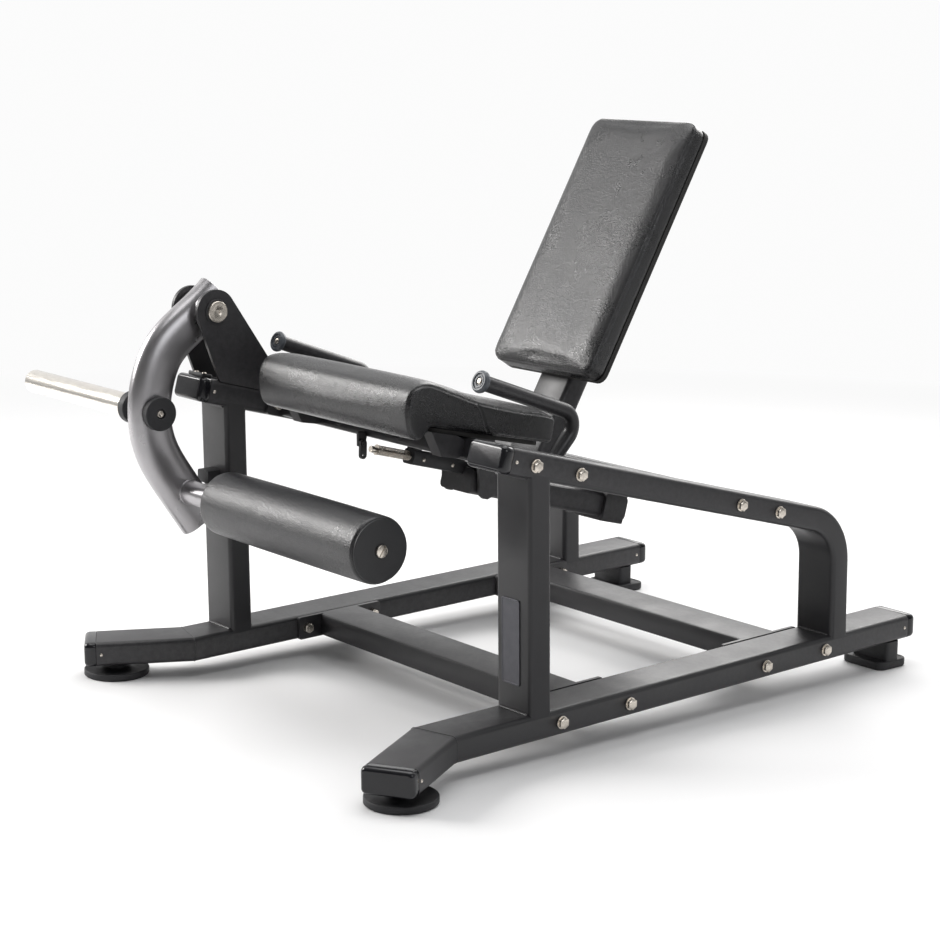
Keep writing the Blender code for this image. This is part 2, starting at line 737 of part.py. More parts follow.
def roller_screw():
    """Broad slotted screw that keeps the roller on its shaft."""
    start = ROLLER_HALF + GAP
    head = ROLLER_HALF + DISC_THICK + 2 * GAP
    profile = [(start, 0.007), (head, 0.007), (head, 0.0120), (head + 0.004, 0.0120), (head + 0.005, 0.0110)]
    screw = turned("roller_screw", profile, 20, about_x(ROLLER_Y, ROLLER_Z))
    slot = inclined(ROLLER_Y, ROLLER_Z, math.radians(-55))
    cut = prism("cut", block_outline(0.0011, -0.014, 0.014), slot, head + 0.0030, head + 0.007)
    return finish(shaped(screw, ("DIFFERENCE", cut)), "zinc")


def roller_foam():
    bore = (ROD_RADIUS + RUNNING) / math.cos(math.pi / AXLE_SIDES)
    edge = 0.005
    profile = [
        (-ROLLER_HALF, bore), (-ROLLER_HALF, ROLLER_RADIUS - edge),
        (-ROLLER_HALF + 0.0015, ROLLER_RADIUS - 0.0015), (-ROLLER_HALF + edge, ROLLER_RADIUS),
        (ROLLER_HALF - edge, ROLLER_RADIUS), (ROLLER_HALF - 0.0015, ROLLER_RADIUS - 0.0015),
        (ROLLER_HALF, ROLLER_RADIUS - edge), (ROLLER_HALF, bore),
    ]
    return finish(turned("roller_foam", profile, AXLE_SIDES, about_x(ROLLER_Y, ROLLER_Z), True), "foam")


def roller_end_disc():
    near, far = ROLLER_HALF + GAP, ROLLER_HALF + DISC_THICK
    profile = [(near, 0.0075), (near, 0.059), (far - 0.001, 0.059), (far, 0.058), (far, 0.0075)]
    return finish(turned("roller_end_disc", profile, 24, about_x(ROLLER_Y, ROLLER_Z), True), "matte_plastic")


def arm_stop():
    """Rubber block on the front of the right post, that the lever arm rests against."""
    front_y, rear_y = -0.4905, POST_BACK["right"] - TUBE_THIN - GAP
    place = Matrix.Translation((-SIDE_X, 0, 0.371))
    outline = rounded(0.040, 0.026, 0.005, 2)
    return finish(prism("arm_stop", outline, place, front_y, rear_y, "slope"), "rubber")


# Seat and backrest


def seat_board():
    place = inclined(SEAT_REAR_Y, board_bottom(SEAT_REAR_Y) + GAP, SEAT_PITCH)
    half, corner = 0.235, 0.020
    front, rear = -0.281, -0.012
    outline = [(u, v + (front + rear) / 2) for u, v in rounded(2 * half, rear - front, corner, 3)]
    rings = [[place @ Vector((u, v, t)) for u, v in outline] for t in (0, BOARD_THICK - GAP)]
    return finish(skin("seat_board", rings), "plywood")


def seat_cushion():
    """Seat pad: a raised roll at the knees that hangs over the board's front edge, then a flatter rear."""
    slope = math.tan(SEAT_PITCH)
    under = [(y, SEAT_REAR_Z - slope * (y - SEAT_REAR_Y) + GAP) for y in (-0.410, -0.250, SEAT_REAR_Y)]
    roll = [(-0.424, 0.531), (-0.447, 0.533), (-0.462, 0.554), (-0.466, 0.588), (-0.458, 0.622)]
    roll += [(-0.437, 0.638)]
    top = [(-0.407, 0.637), (-0.353, 0.615), (-0.292, 0.590), (-0.210, 0.567), (-0.108, 0.543)]
    top += [(-0.112, 0.504)]
    outline = under + list(reversed(top)) + list(reversed(roll))
    edge = 0.012
    rings = []
    for x, inset in ((-SEAT_HALF, edge), (-SEAT_HALF + edge, 0), (SEAT_HALF - edge, 0), (SEAT_HALF, edge)):
        middle = Vector((sum(y for y, _ in outline), sum(z for _, z in outline))) / len(outline)
        ring = []
        for y, z in outline:
            inward = middle - Vector((y, z))
            moved = Vector((y, z)) + inward.normalized() * inset
            ring.append((x, moved.x, moved.y))
        rings.append(ring)
    return finish(skin("seat_cushion", rings), "vinyl")


def back_place():
    """Frame on the backrest's lower front edge: X, up along the face, then rearwards through the pad."""
    place = Matrix.Translation((0, BACK_Y, BACK_Z)) @ Matrix.Rotation(BACK_LEAN, 4, "X")
    return place @ Matrix.Diagonal((1, 1, -1, 1))


def slab(name, half, low, high, corner, depths):
    """Rounded slab in the backrest's frame; depths are (depth, inset) pairs."""
    place = back_place()
    rings = []
    for depth, inset in depths:
        outline = rounded(2 * (half - inset), high - low - 2 * inset, corner - inset / 2, 4)
        rings.append([place @ Vector((u, v + (low + high) / 2, depth)) for u, v in outline])
    return skin(name, rings)


def backrest_cushion():
    depths = ((0, 0.008), (0.003, 0.002), (0.009, 0), (PAD_THICK - GAP, 0))
    return finish(slab("backrest_cushion", BACK_HALF, 0, BACK_LENGTH, 0.022, depths), "vinyl")


def backrest_board():
    depths = ((PAD_THICK, 0.004), (POST_DEPTH - 0.004, 0.004), (POST_DEPTH - GAP, 0.008))
    return finish(slab("backrest_board", BACK_HALF, 0, BACK_LENGTH, 0.022, depths), "plywood")


def backrest_carriage():
    """Inclined beam that slides in the guides, with the leaning backrest post welded on it."""
    middle = (BEAM_FRONT_Y + BEAM_REAR_Y) / 2
    place = inclined(middle, beam_top(middle), SLOPE)
    half = (BEAM_REAR_Y - BEAM_FRONT_Y) / 2 / math.cos(SLOPE)
    outline = [(u, v - TUBE_THIN / 2) for u, v in rounded(TUBE_WIDE, TUBE_THIN, TUBE_CORNER)]
    hollow = rounded(TUBE_WIDE - 2 * WALL, TUBE_THIN - 2 * WALL, TUBE_CORNER - WALL, 2)
    beam_hollow = [(u, v - TUBE_THIN / 2) for u, v in hollow]
    plate = [(u, v - TUBE_THIN / 2) for u, v in rounded(0.096, 0.046, 0.006, 2)]
    lug = [(u, v - 0.004) for u, v in rounded(0.026, 0.034, 0.008, 2)]
    back = back_place()
    post = [(u, v + POST_DEPTH + TUBE_THIN / 2) for u, v in rounded(INSET_WIDE, TUBE_THIN, TUBE_CORNER)]
    post_hollow = [(u, v + POST_DEPTH + TUBE_THIN / 2) for u, v in hollow]
    post_foot = -0.250
    vent = turned("cut", [(-0.050, 0.005), (0.012, 0.005)], 8, about_z(0, 0))
    vent_y = BEAM_REAR_Y - 0.09
    vent.data.transform(Matrix.Translation((0, vent_y, beam_top(vent_y) - TUBE_THIN)))
    foot_trim = prism("cut", block_outline(0.08, -0.30, -0.035), place, -half, half, "slope")
    upright = prism("post", post, back, post_foot, POST_TOP, "slope")
    shaped(upright, ("DIFFERENCE", foot_trim))
    post_core = prism("cut", post_hollow, back, post_foot + 0.02, POST_TOP - WALL, "slope")
    core_trim = prism("cut", block_outline(0.08, -0.30, -0.030), place, -half, half, "slope")
    shaped(post_core, ("DIFFERENCE", core_trim))
    steps = (
        ("UNION", prism("plate", plate, place, -half - 0.0005, -half + 0.0065, "slope")),
        ("UNION", prism("lug", lug, place, -half - 0.0005, -half + 0.0075, "slope")),
        ("UNION", upright),
        ("DIFFERENCE", prism("cut", beam_hollow, place, -half + 0.012, half - WALL, "slope")),
        ("DIFFERENCE", post_core),
        ("DIFFERENCE", vent),
    )
    beam = prism("backrest_carriage", outline, place, -half, half, "slope")
    return finish(shaped(beam, *steps), "frame_paint")


# Lock of the sliding beam


def lock_place():
    """Frame on the lock's line, level with the top of the sliding beam, at the housing's front."""
    return inclined(LOCK_FRONT_Y, beam_top(LOCK_FRONT_Y), SLOPE)


def along_slope(y):
    return (y - LOCK_FRONT_Y) / math.cos(SLOPE)


def lock_housing():
    place = lock_place()
    length = along_slope(LOCK_REAR_Y)
    body = prism("lock_housing", rounded(0.034, 0.030, 0.006, 2), place, 0, length, "slope")
    top = (upper_centre(LOCK_FRONT_Y) - beam_top(LOCK_FRONT_Y)) * math.cos(SLOPE) - UPPER_TUBE_THIN / 2 - GAP
    pad = prism("pad", block_outline(0.012, 0.010, top), place, 0.001, 0.019, "slope")
    rod = prism("cut", circle(LOCK_ROD + 0.0004, 12), place, -0.01, length + 0.01, "slope")
    return finish(shaped(body, ("UNION", pad), ("DIFFERENCE", rod)), "matte_plastic")


def lock_rod():
    """Rod from the beam's front lug through the housing and the spring, with a small nut at its tip."""
    place = lock_place()
    tip = along_slope(SPRING_FRONT_Y) - 0.006
    lug = along_slope(BEAM_FRONT_Y) - 0.0005 - GAP
    rings = []
    for along, radius in ((tip - 0.006, 0.0066), (tip, 0.0066), (tip, LOCK_ROD), (lug, LOCK_ROD)):
        rings.append([place @ Vector((u, along, v)) for u, v in circle(radius, 12)])
    return finish(skin("lock_rod", rings), "zinc")


def lock_spring():
    """Coil spring ahead of the housing, around the rod."""
    place = lock_place()
    start = along_slope(SPRING_FRONT_Y)
    end = -GAP - WIRE_RADIUS * 1.2
    steps = SPRING_TURNS * 6
    rings = []
    for i in range(steps + 1):
        turn = math.tau * SPRING_TURNS * i / steps
        outward = Vector((math.cos(turn), 0, math.sin(turn)))
        along = Vector((0, start + (end - start) * i / steps, 0))
        centre = along + outward * SPRING_RADIUS
        ring = []
        for u, v in circle(WIRE_RADIUS, 3):
            ring.append(place @ (centre + outward * u + Vector((0, v, 0))))
        rings.append(ring)
    return finish(skin("lock_spring", rings), "zinc", 180)


def release_lever():
    """Small hanging lever that frees the lock, with a hole for its pull."""
    outline = arc((LEVER_Y, LEVER_Z), 0.0075, 0, math.pi, 6)
    outline += arc((LEVER_Y - 0.001, LEVER_Z - 0.024), 0.0075, math.pi, math.tau, 6)
    low, high = -0.0595, -0.0530
    lever = prism("release_lever", outline, Matrix.Identity(4), low, high)
    bore = (LEVER_PIN + RUNNING) / math.cos(math.pi / 16)
    middle = (low + high) / 2
    pin_hole = hole(middle, LEVER_Y, LEVER_Z, bore, 16, -0.01, 0.01)
    pull_hole = hole(middle, LEVER_Y - 0.001, LEVER_Z - 0.024, 0.003, 12, -0.01, 0.01)
    return finish(shaped(lever, ("DIFFERENCE", pin_hole), ("DIFFERENCE", pull_hole)), "matte_plastic")


# Handles


def handle_path(x):
    """Grip sloping down to the rear, a tight bend and a leg forward to the cross member's rear face."""
    grip_front = (-0.3585, 0.645)
    weld_y = -0.2482
    weld = (weld_y - 0.001, 0.4833)
    return in_side_plane(fillet([grip_front, (-0.1154, 0.5526), (-0.1987, 0.4693), weld], HANDLE_BEND, 6), x)


def handle(side):
    x = SIGN[side] * HANDLE_X
    path = handle_path(x)
    end = path[-1]
    inward = (path[-2] - end).normalized()
    path[-1] = end + inward * 0.0015
    grip_in = (path[1] - path[0]).normalized()
    path[0] = path[0] + grip_in * 0.009
    tube = sweep("handle_" + side, path, (1, 0, 0), circle(HANDLE_RADIUS, 14))
    hollow_path = [path[0]] + path[1:-1] + [path[-1] + inward * 0.004]
    hollow = sweep("cut", hollow_path, (1, 0, 0), circle(HANDLE_RADIUS - 0.0025, 8))
    opening = [path[0] - grip_in * 0.01, path[0] + grip_in * 0.02]
    mouth = sweep("cut", opening, (1, 0, 0), circle(HANDLE_RADIUS - 0.0022, 14))
    return finish(shaped(tube, ("DIFFERENCE", hollow), ("DIFFERENCE", mouth)), "frame_paint")


def grip_cap(side):
    """Flanged plug in the handle's open end."""
    x = SIGN[side] * HANDLE_X
    path = handle_path(x)
    inward = (path[1] - path[0]).normalized()
    across = Vector((1, 0, 0))
    up = across.cross(inward)
    mouth = 0.009
    stations = (
        (-0.003, 0.0060), (-0.0052, 0.0060), (-0.0052, 0.0150), (-0.003, 0.0200), (0.0, 0.0210),
        (0.006, 0.0205), (mouth - GAP, 0.0155), (mouth - GAP, 0.0115), (mouth + 0.010, 0.0115),
    )
    rings = [[path[0] + inward * t + across * u + up * v for u, v in circle(r, 16)] for t, r in stations]
    return finish(skin("grip_cap_" + side, rings), "grey_plastic", 50)


# Feet


def under_rail(y):
    """Height of the leaning rail's underside above the floor, less a gap."""
    return RAIL_CLEARANCE / math.cos(LEAN) + y * math.tan(LEAN) - GAP


def front_foot_place(side):
    """Middle of a front foot, under the splayed end of the rail."""
    x = SIGN[side] * (SIDE_X + FOOT_REACH * math.sin(SPLAY))
    return Vector((x, RAIL_KINK_Y - FOOT_REACH * math.cos(SPLAY), 0))


def front_foot(side):
    x, y, _ = front_foot_place(side)
    top = under_rail(y - 0.03)
    profile = [
        (0, FOOT_RADIUS), (FOOT_THICK - 0.004, FOOT_RADIUS),
        (FOOT_THICK, FOOT_RADIUS - 0.004), (FOOT_THICK, 0.030), (top, 0.022),
    ]
    return finish(turned("front_foot_" + side, profile, 24, about_z(x, y)), "rubber")


def rear_foot(side):
    sign = SIGN[side]
    column_y = (0.621, 0.660)
    plate_y = (0.600, 0.689)
    plate_thick = 0.018
    x = sign * SIDE_X
    middle = sum(column_y) / 2
    outline = [(x + u, v + middle) for u, v in rounded(0.096, column_y[1] - column_y[0], 0.008, 2)]
    rings = [[(u, v, 0.004) for u, v in outline], [(u, v, under_rail(v)) for u, v in outline]]
    column = skin("column", rings)
    shape = rounded(0.112, plate_y[1] - plate_y[0], 0.016, 4)
    rings = []
    for z, inset in ((0, 0.003), (0.003, 0), (plate_thick - 0.003, 0), (plate_thick, 0.003)):
        grow = 1 - inset / 0.05
        rings.append([(x - sign * 0.006 + u * grow, v * grow + sum(plate_y) / 2, z) for u, v in shape])
    plate = skin("rear_foot_" + side, rings)
    slot = [(x + u, v + plate_y[1] - 0.016) for u, v in rounded(0.036, 0.010, 0.0048, 3)]
    cut = skin("cut", [[(u, v, z) for u, v in slot] for z in (-0.01, 0.03)])
    return finish(shaped(plate, ("UNION", column), ("DIFFERENCE", cut)), "rubber")


def badge():
    """Blank badge plate on the front of the left post."""
    face = POST_BACK["left"] - TUBE_THIN - GAP
    outline = [(SIDE_X - 0.006 + u, 0.180 + v) for u, v in rounded(0.050, 0.160, 0.003, 2)]
    rings = [[(u, face - depth, v) for u, v in outline] for depth in (0, 0.002)]
    return finish(skin("badge", rings), "matte_plastic")


# Assembly


def hang(objects, name, place):
    """Parents objects to an empty at place, keeping their shapes where they are."""
    empty = bpy.data.objects.new(name, None)
    empty.empty_display_size = 0.05
    bpy.context.scene.collection.objects.link(empty)
    empty.matrix_world = place
    for obj in objects:
        obj.parent = empty
        obj.matrix_parent_inverse = place.inverted()
    return empty


def clear_scene():
    for obj in list(bpy.data.objects):
        bpy.data.objects.remove(obj, do_unlink=True)


def build():
    clear_scene()
    frame = [lower_beam("front"), lower_beam("rear"), seat_frame(), upper_rear_beam()]
    frame += [seat_board(), seat_cushion(), lock_housing(), lock_spring(), badge(), arm_stop(), pivot_axle()]
    for side in ("left", "right"):
        frame += [side_frame(side), handle(side), grip_cap(side)]
        frame += rail_caps(side)
        frame += [bolt(side, *place) for place in bolt_places()]
    arm = [lever_arm(), pivot_bushing("left"), pivot_bushing("right"), weight_horn(), horn_collar()]
    arm += arm_caps()
    arm += [arm_bumper(), roller_rod(), roller_screw()]
    roller = [roller_foam(), roller_end_disc()]
    back = [backrest_carriage(), backrest_board(), backrest_cushion(), lock_rod()]
    roller_axis = hang(roller, "roller_axis", about_x(ROLLER_Y, ROLLER_Z))
    arm_axis = hang(arm + [roller_axis], "arm_axis", about_x(PIVOT_Y, PIVOT_Z))
    slide = hang(back, "backrest_slide", lock_place())
    lever_axis = hang([release_lever()], "release_lever_axis", about_x(LEVER_Y, LEVER_Z))
    machine = hang(frame + [arm_axis, slide, lever_axis], "machine", Matrix.Identity(4))
    feet = [foot(side) for side in ("left", "right") for foot in (front_foot, rear_foot)]
    ground = hang(feet, "ground", Matrix.Identity(4))
    ground.matrix_world = Matrix.Translation(-front_foot_place("left"))
    lift = Matrix.Translation((0, 0, RAIL_CLEARANCE))
    machine.matrix_world = ground.matrix_world @ lift @ Matrix.Rotation(LEAN, 4, "X")


build()
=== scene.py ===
"""Looks of a plate-loaded leg extension machine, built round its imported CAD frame.

Metres, in the CAD's frame: +X is the sitter's left, -Y the front, +Z up. The welded frame stands leaned
forward a little, so its pieces are drawn level, with x = 0 on the centre plane and z = 0 under the rails,
and are then set on their feet with LEVEL.
"""

import json
import math

import bmesh
import bpy
import numpy as np
from mathutils import Matrix, Vector
from mathutils.bvhtree import BVHTree
from mathutils.kdtree import KDTree


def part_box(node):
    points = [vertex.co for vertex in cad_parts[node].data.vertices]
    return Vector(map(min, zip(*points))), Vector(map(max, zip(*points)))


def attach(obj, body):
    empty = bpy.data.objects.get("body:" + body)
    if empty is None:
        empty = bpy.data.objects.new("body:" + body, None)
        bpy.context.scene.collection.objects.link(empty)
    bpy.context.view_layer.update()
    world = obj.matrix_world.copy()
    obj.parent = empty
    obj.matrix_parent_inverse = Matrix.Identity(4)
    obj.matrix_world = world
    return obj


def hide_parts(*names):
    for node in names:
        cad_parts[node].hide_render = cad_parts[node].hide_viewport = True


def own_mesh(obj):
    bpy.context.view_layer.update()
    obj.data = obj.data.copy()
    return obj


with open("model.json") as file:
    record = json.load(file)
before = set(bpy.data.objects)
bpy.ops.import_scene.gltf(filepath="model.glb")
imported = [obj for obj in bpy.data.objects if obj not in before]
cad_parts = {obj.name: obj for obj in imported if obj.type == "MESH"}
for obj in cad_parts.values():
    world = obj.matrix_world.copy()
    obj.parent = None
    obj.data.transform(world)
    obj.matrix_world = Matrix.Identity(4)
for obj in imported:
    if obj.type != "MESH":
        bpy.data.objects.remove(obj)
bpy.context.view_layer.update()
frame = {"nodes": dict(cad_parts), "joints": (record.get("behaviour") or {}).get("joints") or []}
WORLD = Matrix.Identity(4)

# Frame tube
TUBE_WIDE = 0.100
TUBE_THIN = 0.050
TUBE_CORNER = 0.010
INSET_WIDE = 0.0996
CORNER_STEPS = 6
CAP_LENGTH = 0.024
FOOT_SINK = 0.013
LOWER_FRONT_Y = -0.1985

# Side frames, drawn level
SPLAY = math.radians(30)
SPLAY_LENGTH = 0.184
RAIL_KINK_Y = -0.539
SLOPE = math.radians(15.8)
UPPER_TOP_Y, UPPER_TOP_Z = -0.4187, 0.5573
UPPER_BEND = 0.105
REAR_LEG_Y = 0.468
POST_BACK = {"left": -0.306, "right": -0.412}
UPPER_CAP_Y = {"left": -0.420, "right": -0.520}
PLATE_ROUND = 0.044
PLATE_THICK = 0.008
PLATE_FACE = 0.0496
PLATE_FEET = (-0.473, -0.300)
WELD_RADIUS = 0.0032
WELD_STEP = 0.0011

# Bolts
BOLT_FLATS = 0.0095
BOLT_WASHER = 0.0123
BOLT_SHANK = 0.006
BOLT_HEAD = 0.0098
ROUND = 48

# Lever arm
ARM_WIDE = 0.092
ARM_THIN = 0.050
FULLNESS = 2.35
HUB_RADIUS = 0.034
HUB_HALF = 0.0385
BOSS_RADIUS = 0.024
STUB_RADIUS = 0.016

# Seat and backrest
SEAT_PITCH = math.atan(0.2295)
SEAT_REAR_Y, SEAT_REAR_Z = -0.128, 0.491
SIDE_SEAM = ((-0.296, 0.590), (-0.286, 0.557), (-0.276, 0.524))
BACK_Y, BACK_Z = 0.047, 0.592
BACK_LEAN = math.atan2(0.859, 0.512)

# Covers: how far foam lets the vinyl draw in, how much of its sideways slip stays, the size of the
# cloth's cells, its inner pressure, and the seams' width and depth
PULL_IN = 0.0012
SLIP = 0.15
CELL = 0.0055
PRESSURE = 4.0
SEAM_WIDTH = 0.0022
SEAM_DEPTH = 0.0022

# Handles
HANDLE_RADIUS = 0.0145
HANDLE_BEND = 0.032

# Stage
BACKDROP = 0.97
BEHIND = Vector((-0.70, 0.60, 0.38))

SIGN = {"left": 1, "right": -1}


# Places taken from the frame


def middle(node):
    low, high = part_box(node)
    return (low + high) / 2


def level_place():
    """The leaned frame's place: its two lower cross members give its lean, and the front one the rest."""
    front, rear = middle("lower_front_beam"), middle("lower_rear_beam")
    lean = math.atan2(rear.z - front.z, rear.y - front.y)
    drawn_at = Matrix.Translation((0, -LOWER_FRONT_Y, -TUBE_THIN / 2))
    return Matrix.Translation(front) @ Matrix.Rotation(lean, 4, "X") @ drawn_at


LEVEL = level_place()
TO_LEVEL = LEVEL.inverted()
CENTRE_X = LEVEL.translation.x


def level(node):
    """A node's middle, with the frame drawn level."""
    return TO_LEVEL @ middle(node)


def span_x(node):
    """A node's two ends along X, measured from the centre plane."""
    low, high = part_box(node)
    return low.x - CENTRE_X, high.x - CENTRE_X


def half_size(node, axis):
    """Half of a node's size along one axis of the CAD frame."""
    low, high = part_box(node)
    return (high[axis] - low[axis]) / 2


def joint_of(name):
    return next(joint for joint in frame["joints"] if joint["name"] == name)


def joint_point(name):
    return TO_LEVEL @ Vector(joint_of(name)["pos_m"])


SIDE_X = level("base_rear_cap_left").x
HANDLE_X = level("handle_left").x
PIVOT = joint_point("arm_pivot")
ROLLER = joint_point("roller_spin")
HORN = level("weight_horn")
RAIL_REAR_Y = level("base_rear_cap_left").y + half_size("base_rear_cap_left", 1) - CAP_LENGTH


# Outlines and paths


def arc(centre, radius, start, end, steps):
    turns = [start + (end - start) * i / steps for i in range(steps + 1)]
    return [(centre[0] + radius * math.cos(t), centre[1] + radius * math.sin(t)) for t in turns]


def circle(radius, sides):
    return arc((0, 0), radius, 0, math.tau, sides)[:-1]


def rounded(width, height, radius, steps=CORNER_STEPS):
    """Outline of a rounded rectangle about the origin."""
    points = []
    for corner in range(4):
        start = corner * math.pi / 2
        x = (width / 2 - radius) * (1 if corner in (0, 3) else -1)
        y = (height / 2 - radius) * (1 if corner in (0, 1) else -1)
        points += arc((x, y), radius, start, start + math.pi / 2, steps)
    return points


def oval(thin, wide, steps=56):
    """Flattened tube's outline: rounder than a rectangle, fuller than an ellipse."""
    points = []
    for u, v in circle(1, steps):
        swell = (abs(u) ** FULLNESS + abs(v) ** FULLNESS) ** (-1 / FULLNESS)
        points.append((thin / 2 * u * swell, wide / 2 * v * swell))
    return points


def fillet(corners, radius, steps):
    """Open path through corners (y, z), with each inner corner turned into an arc."""
    path = [Vector(corners[0])]
    for before, corner, after in zip(corners, corners[1:], corners[2:]):
        corner = Vector(corner)
        inward = (Vector(before) - corner).normalized()
        outward = (Vector(after) - corner).normalized()
        half = inward.angle(outward) / 2
        reach = radius / math.tan(half)
        centre = corner + (inward + outward).normalized() * radius / math.sin(half)
        first = corner + inward * reach - centre
        last = corner + outward * reach - centre
        turn = first.angle_signed(last)
        path += [centre + Matrix.Rotation(-turn * i / steps, 2) @ first for i in range(steps + 1)]
    path.append(Vector(corners[-1]))
    return path


def quarter(depth, inset, steps, last=math.pi / 2):
    """Steps round an edge from its flank: how far each falls short of the face, and how far it is inset."""
    return [(depth * (1 - math.sin(t)), inset * (1 - math.cos(t))) for t in np.linspace(0, last, steps)]


def rim(face, radius, edge, way, steps=6):
    """Profile of a disc's rounded rim, ending on the face that looks way along the axis."""
    return [(face - way * depth, radius - inset) for depth, inset in quarter(edge, edge, steps)]


def hexagon(half_flats, sides=ROUND):
    """Points round a hexagon, from half of its width across flats."""
    points = []
    for i in range(sides):
        turn = math.tau * i / sides
        flat = (turn + math.pi / 6) % (math.pi / 3) - math.pi / 6
        reach = half_flats / math.cos(flat)
        points.append((reach * math.cos(turn), reach * math.sin(turn)))
    return points


def flowing(knots, steps):
    """Smooth path through every knot, with steps points between neighbours."""
    knots = [Vector(k) for k in knots]
    ends = [knots[0] * 2 - knots[1]] + knots + [knots[-1] * 2 - knots[-2]]
    path = []
    for a, b, c, d in zip(ends, ends[1:], ends[2:], ends[3:]):
        for i in range(steps):
            t = i / steps
            square, cube = a * 2 - b * 5 + c * 4 - d, b * 3 - a - c * 3 + d
            path.append(b + (c - a) * t / 2 + square * t**2 / 2 + cube * t**3 / 2)
    return path + [knots[-1]]


def in_side_plane(path, x):
    return [Vector((x, p[0], p[1])) for p in path]


def inclined(y, z, angle, x=0.0):
    """Frame with X first, then the rearward direction down the slope, then the one square to both."""
    return Matrix.Translation((x, y, z)) @ Matrix.Rotation(-angle, 4, "X")


def about_x(point):
    return Matrix.Translation((0, point[-2], point[-1]))


def about_z(x, y):
    return Matrix.Translation((x, y, 0)) @ Matrix.Rotation(-math.pi / 2, 4, "Y")


def turned_to(way):
    """Rotation that takes the first axis to a direction."""
    return Vector((1, 0, 0)).rotation_difference(Vector(way)).to_matrix().to_4x4()


# Meshes


def new_object(name, bm, place=LEVEL):
    bmesh.ops.recalc_face_normals(bm, faces=bm.faces)
    mesh = bpy.data.meshes.new(name)
    bm.to_mesh(mesh)
    bm.free()
    mesh.transform(place)
    obj = bpy.data.objects.new(name, mesh)
    bpy.context.scene.collection.objects.link(obj)
    return obj


def skin(name, rings, looped=False, place=LEVEL):
    """Solid through rings of points; looped joins the last to the first, otherwise the ends are capped."""
    bm = bmesh.new()
    loops = [[bm.verts.new(point) for point in ring] for ring in rings]
    for near, far in zip(loops, loops[1:] + loops[:1] if looped else loops[1:]):
        for i in range(len(near)):
            j = (i + 1) % len(near)
            bm.faces.new((near[i], near[j], far[j], far[i]))
    if not looped:
        bm.faces.new(loops[0])
        bm.faces.new(loops[-1])
    return new_object(name, bm, place)


def sweep(name, path, side, profile, closed=False, place=LEVEL):
    """Profile (across, up) carried along a path in one plane; side is square to that plane."""
    side = Vector(side)
    path = [Vector(point) for point in path]
    legs = [(b - a).normalized() for a, b in zip(path, path[1:] + path[:1])]
    rings = []
    for i, point in enumerate(path):
        before = legs[i - 1] if i or closed else legs[0]
        after = legs[i] if i < len(path) - 1 or closed else legs[i - 1]
        normal = side.cross(before + after).normalized()
        stretch = 1 / math.cos(before.angle(after) / 2)
        rings.append([point + side * u + normal * v * stretch for u, v in profile])
    return skin(name, rings, closed, place)


def turned(name, profile, sides, frame_at, looped=False, place=LEVEL):
    """Profile (along, radius) turned about the first axis of a frame."""
    rings = []
    for along, radius in profile:
        rings.append([frame_at @ Vector((along, u, v)) for u, v in circle(radius, sides)])
    return skin(name, rings, looped, place)


def plate(name, outline, frame_at, low, high, edge, place=LEVEL):
    """Outline (second, third) carried along a frame's first axis, with both rims rounded off by edge."""
    centre = Vector((sum(u for u, _ in outline), sum(v for _, v in outline))) / len(outline)
    reach = max((Vector(p) - centre).length for p in outline)
    sign = 1 if high > low else -1
    rings = []
    for end, way in ((low, sign), (high, -sign)):
        stations = [(end + way * depth, inset) for depth, inset in quarter(edge, edge, 4)]
        if way == sign:
            stations.reverse()
        for along, inset in stations:
            shrunk = [centre + (Vector(p) - centre) * (1 - inset / reach) for p in outline]
            rings.append([frame_at @ Vector((along, *p)) for p in shrunk])
    return skin(name, rings, False, place)


def applied(obj):
    """Makes an object's modified shape its own mesh."""
    graph = bpy.context.evaluated_depsgraph_get()
    mesh = bpy.data.meshes.new_from_object(obj.evaluated_get(graph))
    obj.modifiers.clear()
    obj.data = mesh
    return obj


def union(obj, *others, operation="UNION"):
    for other in others:
        modifier = obj.modifiers.new(other.name, "BOOLEAN")
        modifier.operation = operation
        modifier.solver = "EXACT"
        modifier.object = other
    applied(obj)
    for other in others:
        bpy.data.objects.remove(other)
    return obj


def joined(name, objects):
    """One object that holds several meshes side by side."""
    bm = bmesh.new()
    for obj in objects:
        bm.from_mesh(obj.data)
        bpy.data.objects.remove(obj)
    mesh = bpy.data.meshes.new(name)
    bm.to_mesh(mesh)
    bm.free()
    whole = bpy.data.objects.new(name, mesh)
    bpy.context.scene.collection.objects.link(whole)
    return whole


def dress(obj, slot, body, *nodes, smooth=40, finish=None):
    """Gives a new piece its finish and its body, and hides the CAD nodes that it stands for."""
    obj.data.materials.clear()
    obj.data.materials.append(FINISHES[finish or slot])
    obj.data.shade_smooth()
    obj.data.set_sharp_from_angle(angle=math.radians(smooth))
    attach(obj, body)
    if nodes:
        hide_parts(*nodes)
    return obj


# Finishes


def add(tree, kind, inputs=None, **settings):
    """Shader node with its settings; an input is a value or the socket that feeds it."""
    made = tree.nodes.new("ShaderNode" + kind)
    for key, value in settings.items():
        setattr(made, key, value)
    for key, value in (inputs or {}).items():
        if isinstance(value, bpy.types.NodeSocket):
            tree.links.new(value, made.inputs[key])
        else:
            made.inputs[key].default_value = value
    return made


def total(tree, first, second):
    return add(tree, "Math", {0: first, 1: second}).outputs[0]


def ranged(tree, value, low, high, to_low, to_high):
    inputs = {"Value": value, "From Min": low, "From Max": high, "To Min": to_low, "To Max": to_high}
    return add(tree, "MapRange", inputs).outputs["Result"]


def tinted(tree, share, first, second):
    """Blend of two colours, each a plain colour or a socket."""
    ends = [c if isinstance(c, bpy.types.NodeSocket) else (*c, 1) for c in (first, second)]
    return add(tree, "Mix", {0: share, 6: ends[0], 7: ends[1]}, data_type="RGBA").outputs[2]


